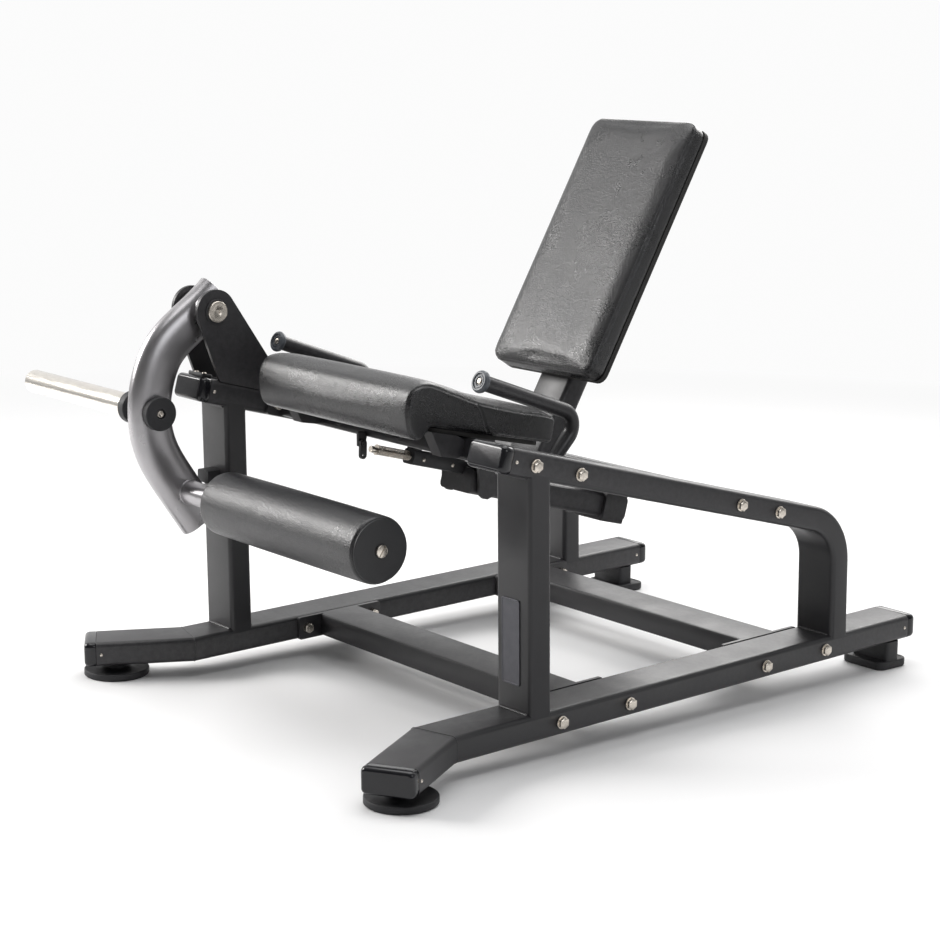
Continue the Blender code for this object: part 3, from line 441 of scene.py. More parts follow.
def clouded(tree, pattern, colour, dark, light):
    """Colour that drifts between darker and lighter shares of itself."""
    share = ranged(tree, pattern, 0.35, 0.65, 0, 1)
    return tinted(tree, share, [c * dark for c in colour], [c * light for c in colour])


def glossed(tree, roughness, *patterns):
    """Roughness varied by patterns, each with what its low and high places add."""
    for pattern, low, high in patterns:
        roughness = total(tree, ranged(tree, pattern, 0.3, 0.7, low, high), roughness)
    return roughness


def start(name, metallic=0.0, **inputs):
    material = bpy.data.materials.new(name)
    material.use_nodes = True
    tree = material.node_tree
    shader = tree.nodes["Principled BSDF"]
    shader.inputs["Metallic"].default_value = metallic
    for key, value in inputs.items():
        shader.inputs[key.replace("_", " ")].default_value = value
    coords = add(tree, "TexCoord").outputs["Object"]
    return material, tree, shader, coords


def noise(tree, coords, size, detail=3.0, roughness=0.5):
    """Cloudy pattern whose features are about size across."""
    inputs = {"Vector": coords, "Scale": 1 / size, "Detail": detail, "Roughness": roughness}
    return add(tree, "TexNoise", inputs).outputs["Fac"]


def pebbles(tree, coords, size):
    """Leather-like cells about size across: high in the middle, low in the creases between them."""
    warp = add(tree, "TexNoise", {"Vector": coords, "Scale": 0.6 / size, "Detail": 2.0}).outputs["Color"]
    bent = add(tree, "VectorMath", {0: warp, 1: (size, size, size)}, operation="MULTIPLY").outputs[0]
    moved = add(tree, "VectorMath", {0: coords, 1: bent}, operation="ADD").outputs[0]
    cells = add(tree, "TexVoronoi", {"Vector": moved, "Scale": 1 / size}, feature="DISTANCE_TO_EDGE")
    return ranged(tree, cells.outputs["Distance"], 0.0, 0.22, 0.0, 1.0)


def finished(tree, shader, colour, roughness, normal, material):
    for key, socket in (("Base Color", colour), ("Roughness", roughness), ("Normal", normal)):
        tree.links.new(socket, shader.inputs[key])
    return material


def raised(tree, height, depth, under=None):
    inputs = {"Height": height, "Distance": depth, "Strength": 1.0}
    if under is not None:
        inputs["Normal"] = under
    return add(tree, "Bump", inputs).outputs["Normal"]


def painted(name, colour, roughness, metallic=0.0, peel=0.0022, peel_depth=0.00006, mottle=0.12,
            spread=0.06, worn=None):
    """Sprayed or moulded surface: orange peel, broad changes of gloss, and thinner colour at its edges."""
    material, tree, shader, coords = start(name, metallic)
    broad = noise(tree, coords, 0.09, 4.0)
    fine = noise(tree, coords, peel, 2.0)
    speck = noise(tree, coords, 0.011, 5.0, 0.7)
    base = clouded(tree, broad, colour, 1 - mottle, 1 + mottle)
    if worn:
        edge = add(tree, "NewGeometry").outputs["Pointiness"]
        share, broken = ranged(tree, edge, 0.505, 0.56, 0.0, 0.55), ranged(tree, speck, 0.35, 0.65, 0.2, 1.0)
        share = add(tree, "Math", {0: share, 1: broken}, operation="MULTIPLY").outputs[0]
        base = tinted(tree, share, base, worn)
    gloss = glossed(tree, roughness, (broad, -spread, spread), (speck, -spread / 2, spread / 2))
    return finished(tree, shader, base, gloss, raised(tree, fine, peel_depth), material)


def upholstery(name, colour, roughness, grain, depth):
    """Vinyl leather: pebbled grain with painted shade in the creases between the pebbles, faint creases and
    a softer gloss where the cover is handled.
    """
    material, tree, shader, coords = start(name, 0.0, Specular_IOR_Level=0.75)
    broad = noise(tree, coords, 0.12, 4.0)
    crease = noise(tree, coords, 0.035, 3.0)
    mottle = noise(tree, coords, grain * 3.2, 3.0, 0.6)
    cells = pebbles(tree, coords, grain)
    pores = noise(tree, coords, grain * 0.4, 2.0)
    # painted shade: the colour falls to 0.55 of itself in the creases between the pebbles
    base = tinted(tree, cells, [c * 0.55 for c in colour], clouded(tree, broad, colour, 0.8, 1.2))
    gloss = glossed(tree, roughness, (broad, -0.05, 0.06))
    gloss = total(tree, gloss, ranged(tree, cells, 0.0, 1.0, 0.10, 0.0))
    normal = raised(tree, mottle, depth * 1.6, raised(tree, crease, 0.0006))
    normal = raised(tree, pores, depth * 0.35, raised(tree, cells, depth, normal))
    return finished(tree, shader, base, gloss, normal, material)


def plated(name, colour, roughness, stretch=(1, 1, 1), streak=0.0015, blotch=0.15):
    """Plated or polished metal with fine marks, drawn out along one axis where stretch is small."""
    material, tree, shader, coords = start(name, 1.0)
    mapped = add(tree, "Mapping", {"Vector": coords, "Scale": stretch}).outputs["Vector"]
    marks = noise(tree, mapped, streak, 4.0, 0.65)
    cloud = noise(tree, coords, 0.018, 4.0)
    base = clouded(tree, cloud, colour, 1 - blotch, 1)
    gloss = glossed(tree, roughness, (marks, -0.07, 0.10))
    return finished(tree, shader, base, gloss, raised(tree, marks, 0.00002), material)


def veneer(name, colour):
    """Painted plywood: long faint grain under a dull black coat."""
    material, tree, shader, coords = start(name)
    mapped = add(tree, "Mapping", {"Vector": coords, "Scale": (0.12, 1.0, 1.0)}).outputs["Vector"]
    grain = noise(tree, mapped, 0.003, 5.0, 0.7)
    base = tinted(tree, grain, [c * 0.7 for c in colour], [c * 1.5 for c in colour])
    gloss = ranged(tree, grain, 0.3, 0.7, 0.62, 0.8)
    return finished(tree, shader, base, gloss, raised(tree, grain, 0.0001), material)


CHARCOAL = (0.020, 0.0195, 0.0215)
FINISHES = {
    "frame_paint": painted("frame_paint", CHARCOAL, 0.40, worn=(0.055, 0.053, 0.056)),
    "arm_paint": painted("arm_paint", (0.42, 0.41, 0.42), 0.31, 0.92, 0.0009, 0.00002, 0.05, 0.05),
    "chrome": plated("chrome", (0.80, 0.76, 0.70), 0.20, (0.05, 1, 1), 0.002, 0.08),
    "zinc": plated("zinc", (0.78, 0.72, 0.64), 0.26, streak=0.0012, blotch=0.22),
    "gloss_plastic": painted("gloss_plastic", (0.008, 0.008, 0.010), 0.16, 0, 0.006, 0.00005, 0.2, 0.03),
    "matte_plastic": painted("matte_plastic", (0.022, 0.022, 0.024), 0.48, 0, 0.0012, 0.00006),
    "grey_plastic": painted("grey_plastic", (0.075, 0.083, 0.095), 0.38, 0, 0.0012, 0.00005),
    "rubber": painted("rubber", (0.018, 0.018, 0.020), 0.62, 0, 0.0010, 0.00010, 0.25, 0.08),
    "vinyl": upholstery("vinyl", (0.0075, 0.0075, 0.0088), 0.27, 0.0034, 0.00020),
    "foam": upholstery("foam", (0.012, 0.012, 0.0145), 0.30, 0.0034, 0.00020),
    "plywood": veneer("plywood", (0.018, 0.017, 0.016)),
    "bronze": plated("bronze", (0.62, 0.42, 0.20), 0.34),
    "thread": painted("thread", (0.040, 0.040, 0.045), 0.50, 0, 0.0006, 0.00008),
    "badge": plated("badge", (0.10, 0.10, 0.11), 0.36, (1, 1, 0.05), 0.0008, 0.1),
}


# CAD nodes whose shapes are kept


def soften(node, slot):
    """Keeps a CAD node, with its finish, its split corners rejoined and its round faces smooth."""
    obj = frame["nodes"][node]
    obj.data.materials.clear()
    obj.data.materials.append(FINISHES[slot])
    obj.data.shade_smooth()
    weld = obj.modifiers.new("weld", "WELD")
    weld.merge_threshold = 0.00004
    split = obj.modifiers.new("split", "EDGE_SPLIT")
    split.split_angle = math.radians(36)
    split.use_edge_sharp = False


KEPT = {
    "frame_paint": (
        "lower_front_beam", "lower_rear_beam", "seat_frame", "upper_rear_beam", "backrest_carriage",
    ),
    "plywood": ("seat_board", "backrest_board"),
    "matte_plastic": ("lock_housing", "release_lever"),
    "bronze": ("pivot_bushing_left", "pivot_bushing_right"),
    "zinc": ("lock_rod",),
    "rubber": ("arm_stop",),
}


def kept_nodes():
    for slot, nodes in KEPT.items():
        for node in nodes:
            soften(node, slot)


# Side frames


def upper_top(y):
    return UPPER_TOP_Z - math.tan(SLOPE) * (y - UPPER_TOP_Y)


def upper_centre(y):
    return upper_top(y) - TUBE_THIN / 2 / math.cos(SLOPE)


def base_path(sign):
    reach = Vector((sign * math.sin(SPLAY), -math.cos(SPLAY), 0)) * SPLAY_LENGTH
    kink = Vector((sign * SIDE_X, RAIL_KINK_Y, TUBE_THIN / 2))
    return [kink + reach, kink, Vector((sign * SIDE_X, RAIL_REAR_Y, TUBE_THIN / 2))]


def upper_path(side):
    front = UPPER_CAP_Y[side] + CAP_LENGTH * math.cos(SLOPE)
    corners = [
        (front, upper_centre(front)),
        (REAR_LEG_Y, upper_centre(REAR_LEG_Y)),
        (REAR_LEG_Y, TUBE_THIN - FOOT_SINK),
    ]
    return in_side_plane(fillet(corners, UPPER_BEND, 28), SIGN[side] * SIDE_X)


def pivot_plate_outline():
    """Tall plate with a round top about the arm's pivot, running down into the upper rail."""
    sink = 0.0028
    centre = Vector((PIVOT.y, PIVOT.z))
    front, rear = [(y, upper_top(y) - sink) for y in PLATE_FEET]
    ends = []
    for foot, turn in ((front, -1), (rear, 1)):
        away = Vector(foot) - centre
        ends.append(math.atan2(away.y, away.x) + turn * math.acos(PLATE_ROUND / away.length))
    return [front] + arc(centre, PLATE_ROUND, ends[0] + math.tau, ends[1], 40) + [rear]


def side_frame(side):
    sign = SIGN[side]
    x = sign * SIDE_X
    post_y = POST_BACK[side] - TUBE_THIN / 2
    inset = rounded(INSET_WIDE - 0.0004, TUBE_THIN, TUBE_CORNER)
    post_path = [Vector((x, post_y, TUBE_THIN - FOOT_SINK)), Vector((x, post_y, upper_centre(post_y)))]
    post = sweep("post", post_path, (1, 0, 0), inset)
    upper = sweep("upper", upper_path(side), (1, 0, 0), rounded(INSET_WIDE, TUBE_THIN, TUBE_CORNER))
    outer = [(v, u) for u, v in rounded(TUBE_WIDE, TUBE_THIN, TUBE_CORNER)]
    rail = sweep("frame_of_" + side + "_side", base_path(sign), (0, 0, 1), outer)
    solids = [post, upper]
    if side == "right":
        for low in (x - PLATE_FACE, x + PLATE_FACE - PLATE_THICK):
            solids.append(plate("pivot_plate", pivot_plate_outline(), WORLD, low, low + PLATE_THICK, 0.0012))
    union(rail, *solids)
    return dress(rail, "frame_paint", "frame", "side_frame_" + side, smooth=32)


def bead(name, path, radius=WELD_RADIUS):
    """Weld bead along a path of points: overlapping scallops about three millimetres apart."""
    path = [Vector(p) for p in path]
    rings = []
    walked = 0.0
    for i, point in enumerate(path):
        ahead = path[min(i + 1, len(path) - 1)] - path[max(i - 1, 0)]
        walked += (point - path[max(i - 1, 0)]).length
        along = ahead.normalized()
        across = along.cross(Vector((0.31, 0.52, 0.79))).normalized()
        up = along.cross(across)
        ripple = 1 + 0.16 * abs(math.sin(walked * math.pi / 0.0032))
        fade = 0.35 if i in (0, len(path) - 1) else 1.0
        rings.append([point + (across * u + up * v) * ripple * fade for u, v in circle(radius, 10)])
    return skin(name, rings)


def between(start_at, end_at):
    start_at, end_at = Vector(start_at), Vector(end_at)
    count = max(2, round((end_at - start_at).length / WELD_STEP))
    return [start_at.lerp(end_at, i / count) for i in range(count + 1)]


def side_welds(side):
    """Welds across the front and back of the post and of the rear leg, and under the pivot plates."""
    x = SIGN[side] * SIDE_X
    half = INSET_WIDE / 2 - TUBE_CORNER
    beads = []
    post = (POST_BACK[side] - TUBE_THIN, POST_BACK[side])
    leg = (REAR_LEG_Y - TUBE_THIN / 2, REAR_LEG_Y + TUBE_THIN / 2)
    corners = [(y, TUBE_THIN) for y in post + leg]
    corners += [(y, upper_centre(y) - TUBE_THIN / 2 / math.cos(SLOPE)) for y in post]
    for y, z in corners:
        beads.append(bead("bead", between((x - half, y, z), (x + half, y, z))))
    if side == "right":
        for plate_x in (x - PLATE_FACE + PLATE_THICK, x + PLATE_FACE - PLATE_THICK):
            feet = [(plate_x, y, upper_top(y) + 0.0005) for y in (-0.468, -0.305)]
            beads.append(bead("bead", between(*feet), 0.0026))
    return dress(joined("welds_of_" + side + "_side", beads), "frame_paint", "frame", smooth=60)


def mitre_seam(side):
    """Ground weld line round the rail where its splayed front end is joined on."""
    sign = SIGN[side]
    kink = Vector((sign * SIDE_X, RAIL_KINK_Y, TUBE_THIN / 2))
    half_turn = SPLAY / 2
    across = Vector((math.cos(half_turn), sign * math.sin(half_turn), 0)) / math.cos(half_turn)
    outline = rounded(TUBE_WIDE, TUBE_THIN, TUBE_CORNER)
    path = [kink + across * u + Vector((0, 0, v)) for u, v in outline]
    normal = Vector((0, 0, 1)).cross(across).normalized()
    seam = sweep("mitre_seam_" + side, path, normal, circle(0.0009, 8), True)
    return dress(seam, "frame_paint", "frame", smooth=80)


def end_cap(name, node, tip, direction, side, wide):
    """Glossy plug: a rounded nose outside the tube, a parting line and a spigot inside it."""
    direction, side = Vector(direction), Vector(side)
    up = side.cross(direction)
    parting, spigot = CAP_LENGTH - 0.0003, 0.0045
    stations = quarter(0.011, 0.0075, 11)[::-1]
    stations += [(parting - 0.0009, 0.0), (parting, 0.0008), (parting, spigot), (CAP_LENGTH + 0.018, spigot)]
    rings = []
    for depth, inset in stations:
        centre = Vector(tip) + direction * depth
        outline = rounded(wide - 2 * inset, TUBE_THIN - 2 * inset, max(spigot, TUBE_CORNER - inset * 0.6))
        rings.append([centre + side * u + up * v for u, v in outline])
    return dress(skin(name, rings), "gloss_plastic", "frame", node, smooth=50)


def pan_head(name, point, outward, radius=0.0034):
    """Small round-headed fixing on a face."""
    place = Matrix.Translation(Vector(point)) @ turned_to(outward)
    dome = [(radius * 0.62 * math.sin(t), radius * math.cos(t)) for t in np.linspace(0, 1.35, 6)]
    return turned(name, [(-0.001, radius)] + dome, 20, place)


def rail_ends(side):
    """The three plugs of one side frame and the small fixings that hold them."""
    sign = SIGN[side]
    front, kink, rear = base_path(sign)
    inward = (kink - front).normalized()
    across = Vector((0, 0, 1)).cross(inward)
    downhill = Vector((0, math.cos(SLOPE), -math.sin(SLOPE)))
    upper = upper_path(side)[0]
    sideways = Vector((1, 0, 0))
    heads = []
    for piece, node, end, along, out, wide in (
        ("base_front_plug_", "base_front_cap_", front, inward, across, TUBE_WIDE),
        ("base_rear_plug_", "base_rear_cap_", rear, Vector((0, -1, 0)), sideways, TUBE_WIDE),
        ("upper_plug_", "upper_front_cap_", upper, downhill, sideways, INSET_WIDE),
    ):
        end_cap(piece + side, node + side, end - along * CAP_LENGTH, along, out, wide)
        for way in (-1, 1):
            heads.append(pan_head("head", end + along * 0.010 + out * way * wide / 2, out * way))
    return dress(joined("plug_fixings_" + side, heads), "zinc", "frame", smooth=60)


# Bolts


def bolt(node):
    """Hexagon bolt with its washer outside the side frame and its nut inside."""
    low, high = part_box(node)
    sign = 1 if high.x > CENTRE_X else -1
    outer, inner = (high.x, low.x) if sign > 0 else (low.x, high.x)
    centre = middle(node)
    head, washer, shank = BOLT_FLATS, BOLT_WASHER, BOLT_SHANK
    face = outer - sign * BOLT_HEAD
    profile = [(outer, 0.003, 0), (outer, head - 0.0022, 0), (outer - sign * 0.0005, head - 0.001, 0)]
    profile += [(outer - sign * 0.0016, head + 0.0002, 1), (face + sign * 0.0026, head + 0.0002, 1)]
    profile += [(face + sign * 0.0024, washer - 0.0005, 0), (face + sign * 0.0019, washer, 0)]
    profile += [(face + sign * 0.0003, washer, 0), (face, washer - 0.0004, 0), (face, shank, 0)]
    profile += [(inner + sign * 0.0100, shank, 0), (inner + sign * 0.0099, head, 1)]
    profile += [(inner + sign * 0.001, head, 1), (inner, head - 0.001, 0)]
    rings = []
    for x, radius, flats in profile:
        outline = hexagon(radius) if flats else circle(radius, ROUND)
        rings.append([(x, centre.y + u, centre.z + v) for u, v in outline])
    return dress(skin("hex_" + node, rings, False, WORLD), "zinc", "frame", node, smooth=28)


# Lever arm


def arm_knots():
    top = Vector((PIVOT.y, PIVOT.z)) + Vector((0.75, 0.66)).normalized() * 0.043
    return [
        top, (PIVOT.y, PIVOT.z), (-0.532, 0.674), (-0.573, 0.639), (-0.594, 0.596), (-0.605, 0.560),
        (-0.609, 0.522), (-0.608, 0.480), (-0.598, 0.441), (-0.582, 0.408), (-0.556, 0.367),
        (-0.5011, 0.2829),
    ]


def evenly(path, count):
    """A path's points again, evenly spaced, with its bends eased."""
    walked = [0.0]
    for a, b in zip(path, path[1:]):
        walked.append(walked[-1] + (b - a).length)
    wanted = np.linspace(0, walked[-1], count)
    points = np.array([np.interp(wanted, walked, [p[axis] for p in path]) for axis in range(len(path[0]))]).T
    for _ in range(40):
        points[1:-1] = points[1:-1] * 0.5 + (points[:-2] + points[2:]) * 0.25
    return [Vector(p) for p in points]


ARM_PATH = in_side_plane(evenly(flowing(arm_knots(), 8), 110), -SIDE_X)


def arm_face(y, z):
    """How far the arm's surface stands from its middle plane at a point of its side."""
    point = Vector((-SIDE_X, y, z))
    near = min(range(len(ARM_PATH) - 1), key=lambda i: (ARM_PATH[i] - point).length)
    along = (ARM_PATH[near + 1] - ARM_PATH[max(near - 1, 0)]).normalized()
    off = along.cross(point - ARM_PATH[near]).length
    share = min(1.0, off / (ARM_WIDE / 2))
    return ARM_THIN / 2 * (1 - share**FULLNESS) ** (1 / FULLNESS)


def ring_bead(centre, radius, sign):
    """Weld round a boss on the arm's side, following the arm's surface."""
    path = []
    for u, v in arc((centre.y, centre.z), radius, 0, math.tau, round(math.tau * radius / WELD_STEP)):
        path.append((-SIDE_X + sign * arm_face(u, v), u, v))
    return bead("bead", path, 0.0018)


def lever_arm():
    """Bowed flattened tube with a pivot hub, a stub for the weight horn and a boss for the roller's rod."""
    tube = sweep("tube", ARM_PATH, (1, 0, 0), oval(ARM_THIN, ARM_WIDE))
    edge = 0.0012
    near = [(HUB_HALF - edge, HUB_RADIUS), (HUB_HALF, HUB_RADIUS - edge)]
    hub = [(-x, radius) for x, radius in near[::-1]] + near
    hub = turned("hub", [(x - SIDE_X, radius) for x, radius in hub], 64, about_x(PIVOT))
    stub_end = span_x("horn_collar")[0] - 0.002
    stub = turned("stub", [(-SIDE_X - 0.020, STUB_RADIUS), (stub_end, STUB_RADIUS)], 40, about_x(HORN))
    boss_end = span_x("roller_foam")[0] - 0.002
    boss = [(-SIDE_X, BOSS_RADIUS), (boss_end - edge, BOSS_RADIUS), (boss_end, BOSS_RADIUS - edge)]
    boss = turned("boss", boss, 56, about_x(ROLLER))
    return dress(joined("bowed_arm", [tube, hub, stub, boss]), "arm_paint", "arm", "lever_arm", smooth=50)


def arm_welds():
    beads = [ring_bead(ROLLER, BOSS_RADIUS + 0.0003, 1), ring_bead(HORN, STUB_RADIUS + 0.0003, -1)]
    return dress(joined("arm_welds", beads), "arm_paint", "arm", smooth=60)


def arm_plug(name, node, end, before):
    """Domed plug in an open end of the arm."""
    outward = (end - before).normalized()
    side = Vector((1, 0, 0))
    up = side.cross(outward)
    rings = []
    dome = [(0.0035 * math.sin(t), 0.012 * (1 - math.cos(t)) + 0.0006) for t in np.linspace(1.5, 0, 9)]
    for depth, inset in dome + [(0.0003, 0.0006), (0.0003, 0.006), (-0.006, 0.006)]:
        outline = oval(ARM_THIN - 2 * inset, ARM_WIDE - 2 * inset)
        rings.append([end + outward * depth + side * u + up * v for u, v in outline])
    return dress(skin(name, rings), "arm_paint", "arm", node, smooth=50)


def socket_head(name, point, start_x, end_x, radius, body, socket=0.005, depth=0.004):
    """Round head with a hexagon socket; start_x is its seat and end_x its face."""
    way = 1 if end_x > start_x else -1
    place = about_x(point)
    profile = [(start_x, radius)] + rim(end_x, radius, 0.0018, way)
    profile += [(end_x, socket + 0.0016), (end_x - way * 0.0006, socket + 0.0004)]
    outlines = [(x, circle(r, ROUND)) for x, r in profile]
    for sunk, r in ((0.0007, socket), (depth, socket), (depth + 0.001, 0.001)):
        outlines.append((end_x - way * sunk, hexagon(r * math.cos(math.pi / 6))))
    rings = [[place @ Vector((x, *p)) for p in outline] for x, outline in outlines]
    return dress(skin(name, rings), "zinc", body, smooth=35)


def pivot_fittings():
    """Axle with a broad socket head and a dark washer on each pivot plate."""
    low, high = span_x("pivot_axle")
    shaft = [(low + 0.002, 0.0125), (high - 0.002, 0.0125)]
    axle = turned("axle_shaft", shaft, ROUND, about_x(PIVOT))
    dress(axle, "zinc", "frame", "pivot_axle")
    washers = []
    for face, way in ((low, -1), (high, 1)):
        seat = face - way * 0.0072
        socket_head("axle_head_" + ("inner" if way > 0 else "outer"), PIVOT, seat, face, 0.0215, "frame")
        profile = [(0, 0.0130), (0, 0.0252), (0.0010, 0.0256), (0.0022, 0.0250), (0.0026, 0.0238)]
        profile = [(seat + way * up, radius) for up, radius in profile + [(0.0026, 0.0130)]]
        washers.append(turned("washer", profile, 64, about_x(PIVOT), True))
    return dress(joined("pivot_washers", washers), "matte_plastic", "frame")


def weight_horn():
    """Plated sleeve, closed and dimpled at its tip, that slides over the arm's stub."""
    end_x, start_x = span_x("weight_horn")
    radius = half_size("weight_horn", 2)
    bore, wall, plug = STUB_RADIUS + 0.0004, 0.003, start_x - 0.02
    profile = [(start_x, bore), (start_x, radius - 0.0006), (start_x - 0.0006, radius)]
    profile += rim(end_x, radius, wall, -1, 8)
    profile += [(end_x, 0.0075), (end_x + 0.0008, 0.0068), (end_x + 0.0008, 0.001), (end_x + wall, 0.001)]
    profile += [(end_x + wall, radius - wall), (plug, radius - wall), (plug, bore)]
    sleeve = turned("plate_sleeve", profile, 96, about_x(HORN), True)
    return dress(sleeve, "chrome", "arm", "weight_horn", smooth=35)


def soft_disc(name, node, slot, body, bore, edge, recess=0.0):
    """Moulded disc on an X axis: rounded rims, a bore, and at most a recess round the bore."""
    low, high = span_x(node)
    radius = half_size(node, 1)
    profile = [(low, bore)] + rim(low, radius, edge, -1)[::-1] + rim(high, radius, edge, 1)
    if recess:
        profile += [(high, bore + 0.0055), (high - 0.0008, bore + 0.0045), (high - recess, bore + 0.0042)]
    profile.append((high - recess, bore))
    return dress(turned(name, profile, 72, about_x(level(node)), True), slot, body, node, smooth=35)


def arm_fittings():
    soft_disc("plate_stop_collar", "horn_collar", "rubber", "arm", STUB_RADIUS + 0.0003, 0.0022)
    soft_disc("arm_rubber_stop", "arm_bumper", "rubber", "arm", 0.0055, 0.0022, 0.006)
    face = span_x("arm_bumper")[1]
    middle_at = level("arm_bumper")
    socket_head("rubber_stop_screw", middle_at, face - 0.010, face - 0.0028, 0.0075, "arm", 0.0028, 0.0025)
    arm_plug("arm_plug_top", "arm_top_cap", ARM_PATH[0], ARM_PATH[1])
    arm_plug("arm_plug_bottom", "arm_bottom_cap", ARM_PATH[-1], ARM_PATH[-2])


# Roller


def roller():
    """Foam sleeve in a smooth cover with a rolled rim, its end disc, its slotted screw and its shaft."""
    low, high = span_x("roller_foam")
    radius = half_size("roller_foam", 2)
    bore, edge, bulge, count = 0.0126, 0.0065, 0.0012, 40
    near_rim = quarter(edge, edge, 8, math.pi / 2 - 0.15)[::-1]
    profile = [(low, bore), (low, radius - edge - 0.001)]
    profile += [(low + depth, radius - inset) for depth, inset in near_rim]
    for i in range(1, count):
        t = i / count
        along = low + edge + (high - low - 2 * edge) * t
        profile.append((along, radius + bulge * math.sin(math.pi * t) ** 0.5))
    profile += rim(high, radius, edge, 1, 8) + [(high, bore)]
    sleeve = turned("roller_sleeve", profile, 128, about_x(ROLLER), True)
    dress(sleeve, "foam", "roller", "roller_foam", smooth=60)
    soft_disc("roller_disc", "roller_end_disc", "matte_plastic", "roller", 0.0078, 0.0012)
    shaft_low, shaft_high = span_x("roller_rod")
    shaft = [(shaft_low, 0.0118), (shaft_low + 0.0015, 0.0138), (shaft_low + 0.008, 0.0138)]
    shaft += [(shaft_low + 0.008, 0.0125), (shaft_high, 0.0125)]
    dress(turned("roller_shaft", shaft, 48, about_x(ROLLER)), "zinc", "arm", "roller_rod", smooth=35)
    seat_x, face_x = span_x("roller_screw")
    profile = [(seat_x, 0.0068), (face_x - 0.0042, 0.0068), (face_x - 0.0042, 0.0120)]
    profile += [(face_x - 0.0016, 0.0120), (face_x - 0.0005, 0.0115), (face_x, 0.0102)]
    screw = turned("roller_keeper_screw", profile, 64, about_x(ROLLER))
    slot_at = about_x(ROLLER) @ Matrix.Rotation(math.radians(-35), 4, "X")
    outline = [(u * 0.0011, v * 0.014) for u, v in ((-1, -1), (1, -1), (1, 1), (-1, 1))]
    rings = [[slot_at @ Vector((x, u, v)) for u, v in outline] for x in (face_x - 0.002, face_x + 0.002)]
    union(screw, skin("slot", rings), operation="DIFFERENCE")
    dress(screw, "zinc", "arm", "roller_screw", smooth=30)


# Upholstery


def remeshed(obj, voxel):
    modifier = obj.modifiers.new("remesh", "REMESH")
    modifier.mode = "VOXEL"
    modifier.voxel_size = voxel
    smooth = obj.modifiers.new("smooth", "SMOOTH")
    smooth.iterations = 4
    smooth.factor = 0.5
    return applied(obj)


def points_of(mesh, what="co"):
    values = np.empty(len(mesh.vertices) * 3)
    mesh.vertices.foreach_get(what, values)
    return values.reshape(-1, 3)


def evened(mesh, values, rounds=14):
    """Values at a mesh's vertices, drawn towards their neighbours' mean, so that no small crumples stay."""
    ends = np.empty(len(mesh.edges) * 2, dtype=int)
    mesh.edges.foreach_get("vertices", ends)
    first, second = ends[0::2], ends[1::2]
    count = np.bincount(ends, minlength=len(values))[:, None]
    for _ in range(rounds):
        total = np.zeros_like(values)
        np.add.at(total, first, values[second])
        np.add.at(total, second, values[first])
        values = (values + total / count) / 2
    return values


def stuffed(obj, cap, held):
    """Swells a closed cover by at most cap; held says which points lie on the board and stay there."""
    rest, outward = points_of(obj.data), points_of(obj.data, "normal")
    group = obj.vertex_groups.new(name="held")
    group.add([i for i, p in enumerate(rest) if held(Vector(p))], 1.0, "REPLACE")
    cloth = obj.modifiers.new("cloth", "CLOTH")
    settings = cloth.settings
    settings.quality = 6
    settings.mass = 0.4
    settings.tension_stiffness = settings.compression_stiffness = 18
    settings.shear_stiffness = 8
    settings.bending_stiffness = 2.0
    settings.use_pressure = True
    settings.uniform_pressure_force = PRESSURE
    settings.effector_weights.gravity = 0
    settings.vertex_group_mass = "held"
    scene = bpy.context.scene
    for step in range(1, 21):
        scene.frame_set(step)
    mesh = applied(obj).data
    obj.vertex_groups.clear()
    scene.frame_set(1)
    moved = points_of(mesh) - rest
    along = (moved * outward).sum(axis=1, keepdims=True)
    moved = (moved - outward * along) * SLIP + outward * np.maximum(along, -PULL_IN)
    moved = evened(mesh, moved)
    length = np.linalg.norm(moved, axis=1, keepdims=True)
    eased = cap * np.tanh(length / cap)
    moved *= eased / np.maximum(length, 1e-9)
    mesh.vertices.foreach_set("co", (rest + moved).ravel())
    mesh.update()
    return obj


def subdivided(obj):
    modifier = obj.modifiers.new("subdivision", "SUBSURF")
    modifier.levels = modifier.render_levels = 1
    return applied(obj)


def dense(path, spacing=0.002):
    """A path's points again, evenly spaced."""
    points = []
    for a, b in zip(path, path[1:]):
        count = max(1, round((b - a).length / spacing))
        points += [a.lerp(b, i / count) for i in range(count)]
    return points + [path[-1]]


def surface_of(obj):
    bm = bmesh.new()
    bm.from_mesh(obj.data)
    tree = BVHTree.FromBMesh(bm)
    bm.free()
    return tree


def laid_on(tree, path, spacing=0.002):
    """The nearest points of a surface along a path, with the surface's normals there."""
    found = [tree.find_nearest(p) for p in dense(path, spacing)]
    return [(hit[0], hit[1]) for hit in found]


def creased(obj, lines, width):
    """Draws the cover in along seams: a narrow valley, with a slight roll on each side."""
    points = [p for line in lines for p, _ in line]
    tree = KDTree(len(points))
    for i, p in enumerate(points):
        tree.insert(p, i)
    tree.balance()
    mesh = obj.data
    for vertex in mesh.vertices:
        _, _, away = tree.find(vertex.co)
        if away < width * 3:
            t = away / width
            fall = math.exp(-t * t) - 0.35 * math.exp(-((t - 1.4) ** 2) * 2)
            vertex.co -= vertex.normal * SEAM_DEPTH * fall
    mesh.update()
    return obj


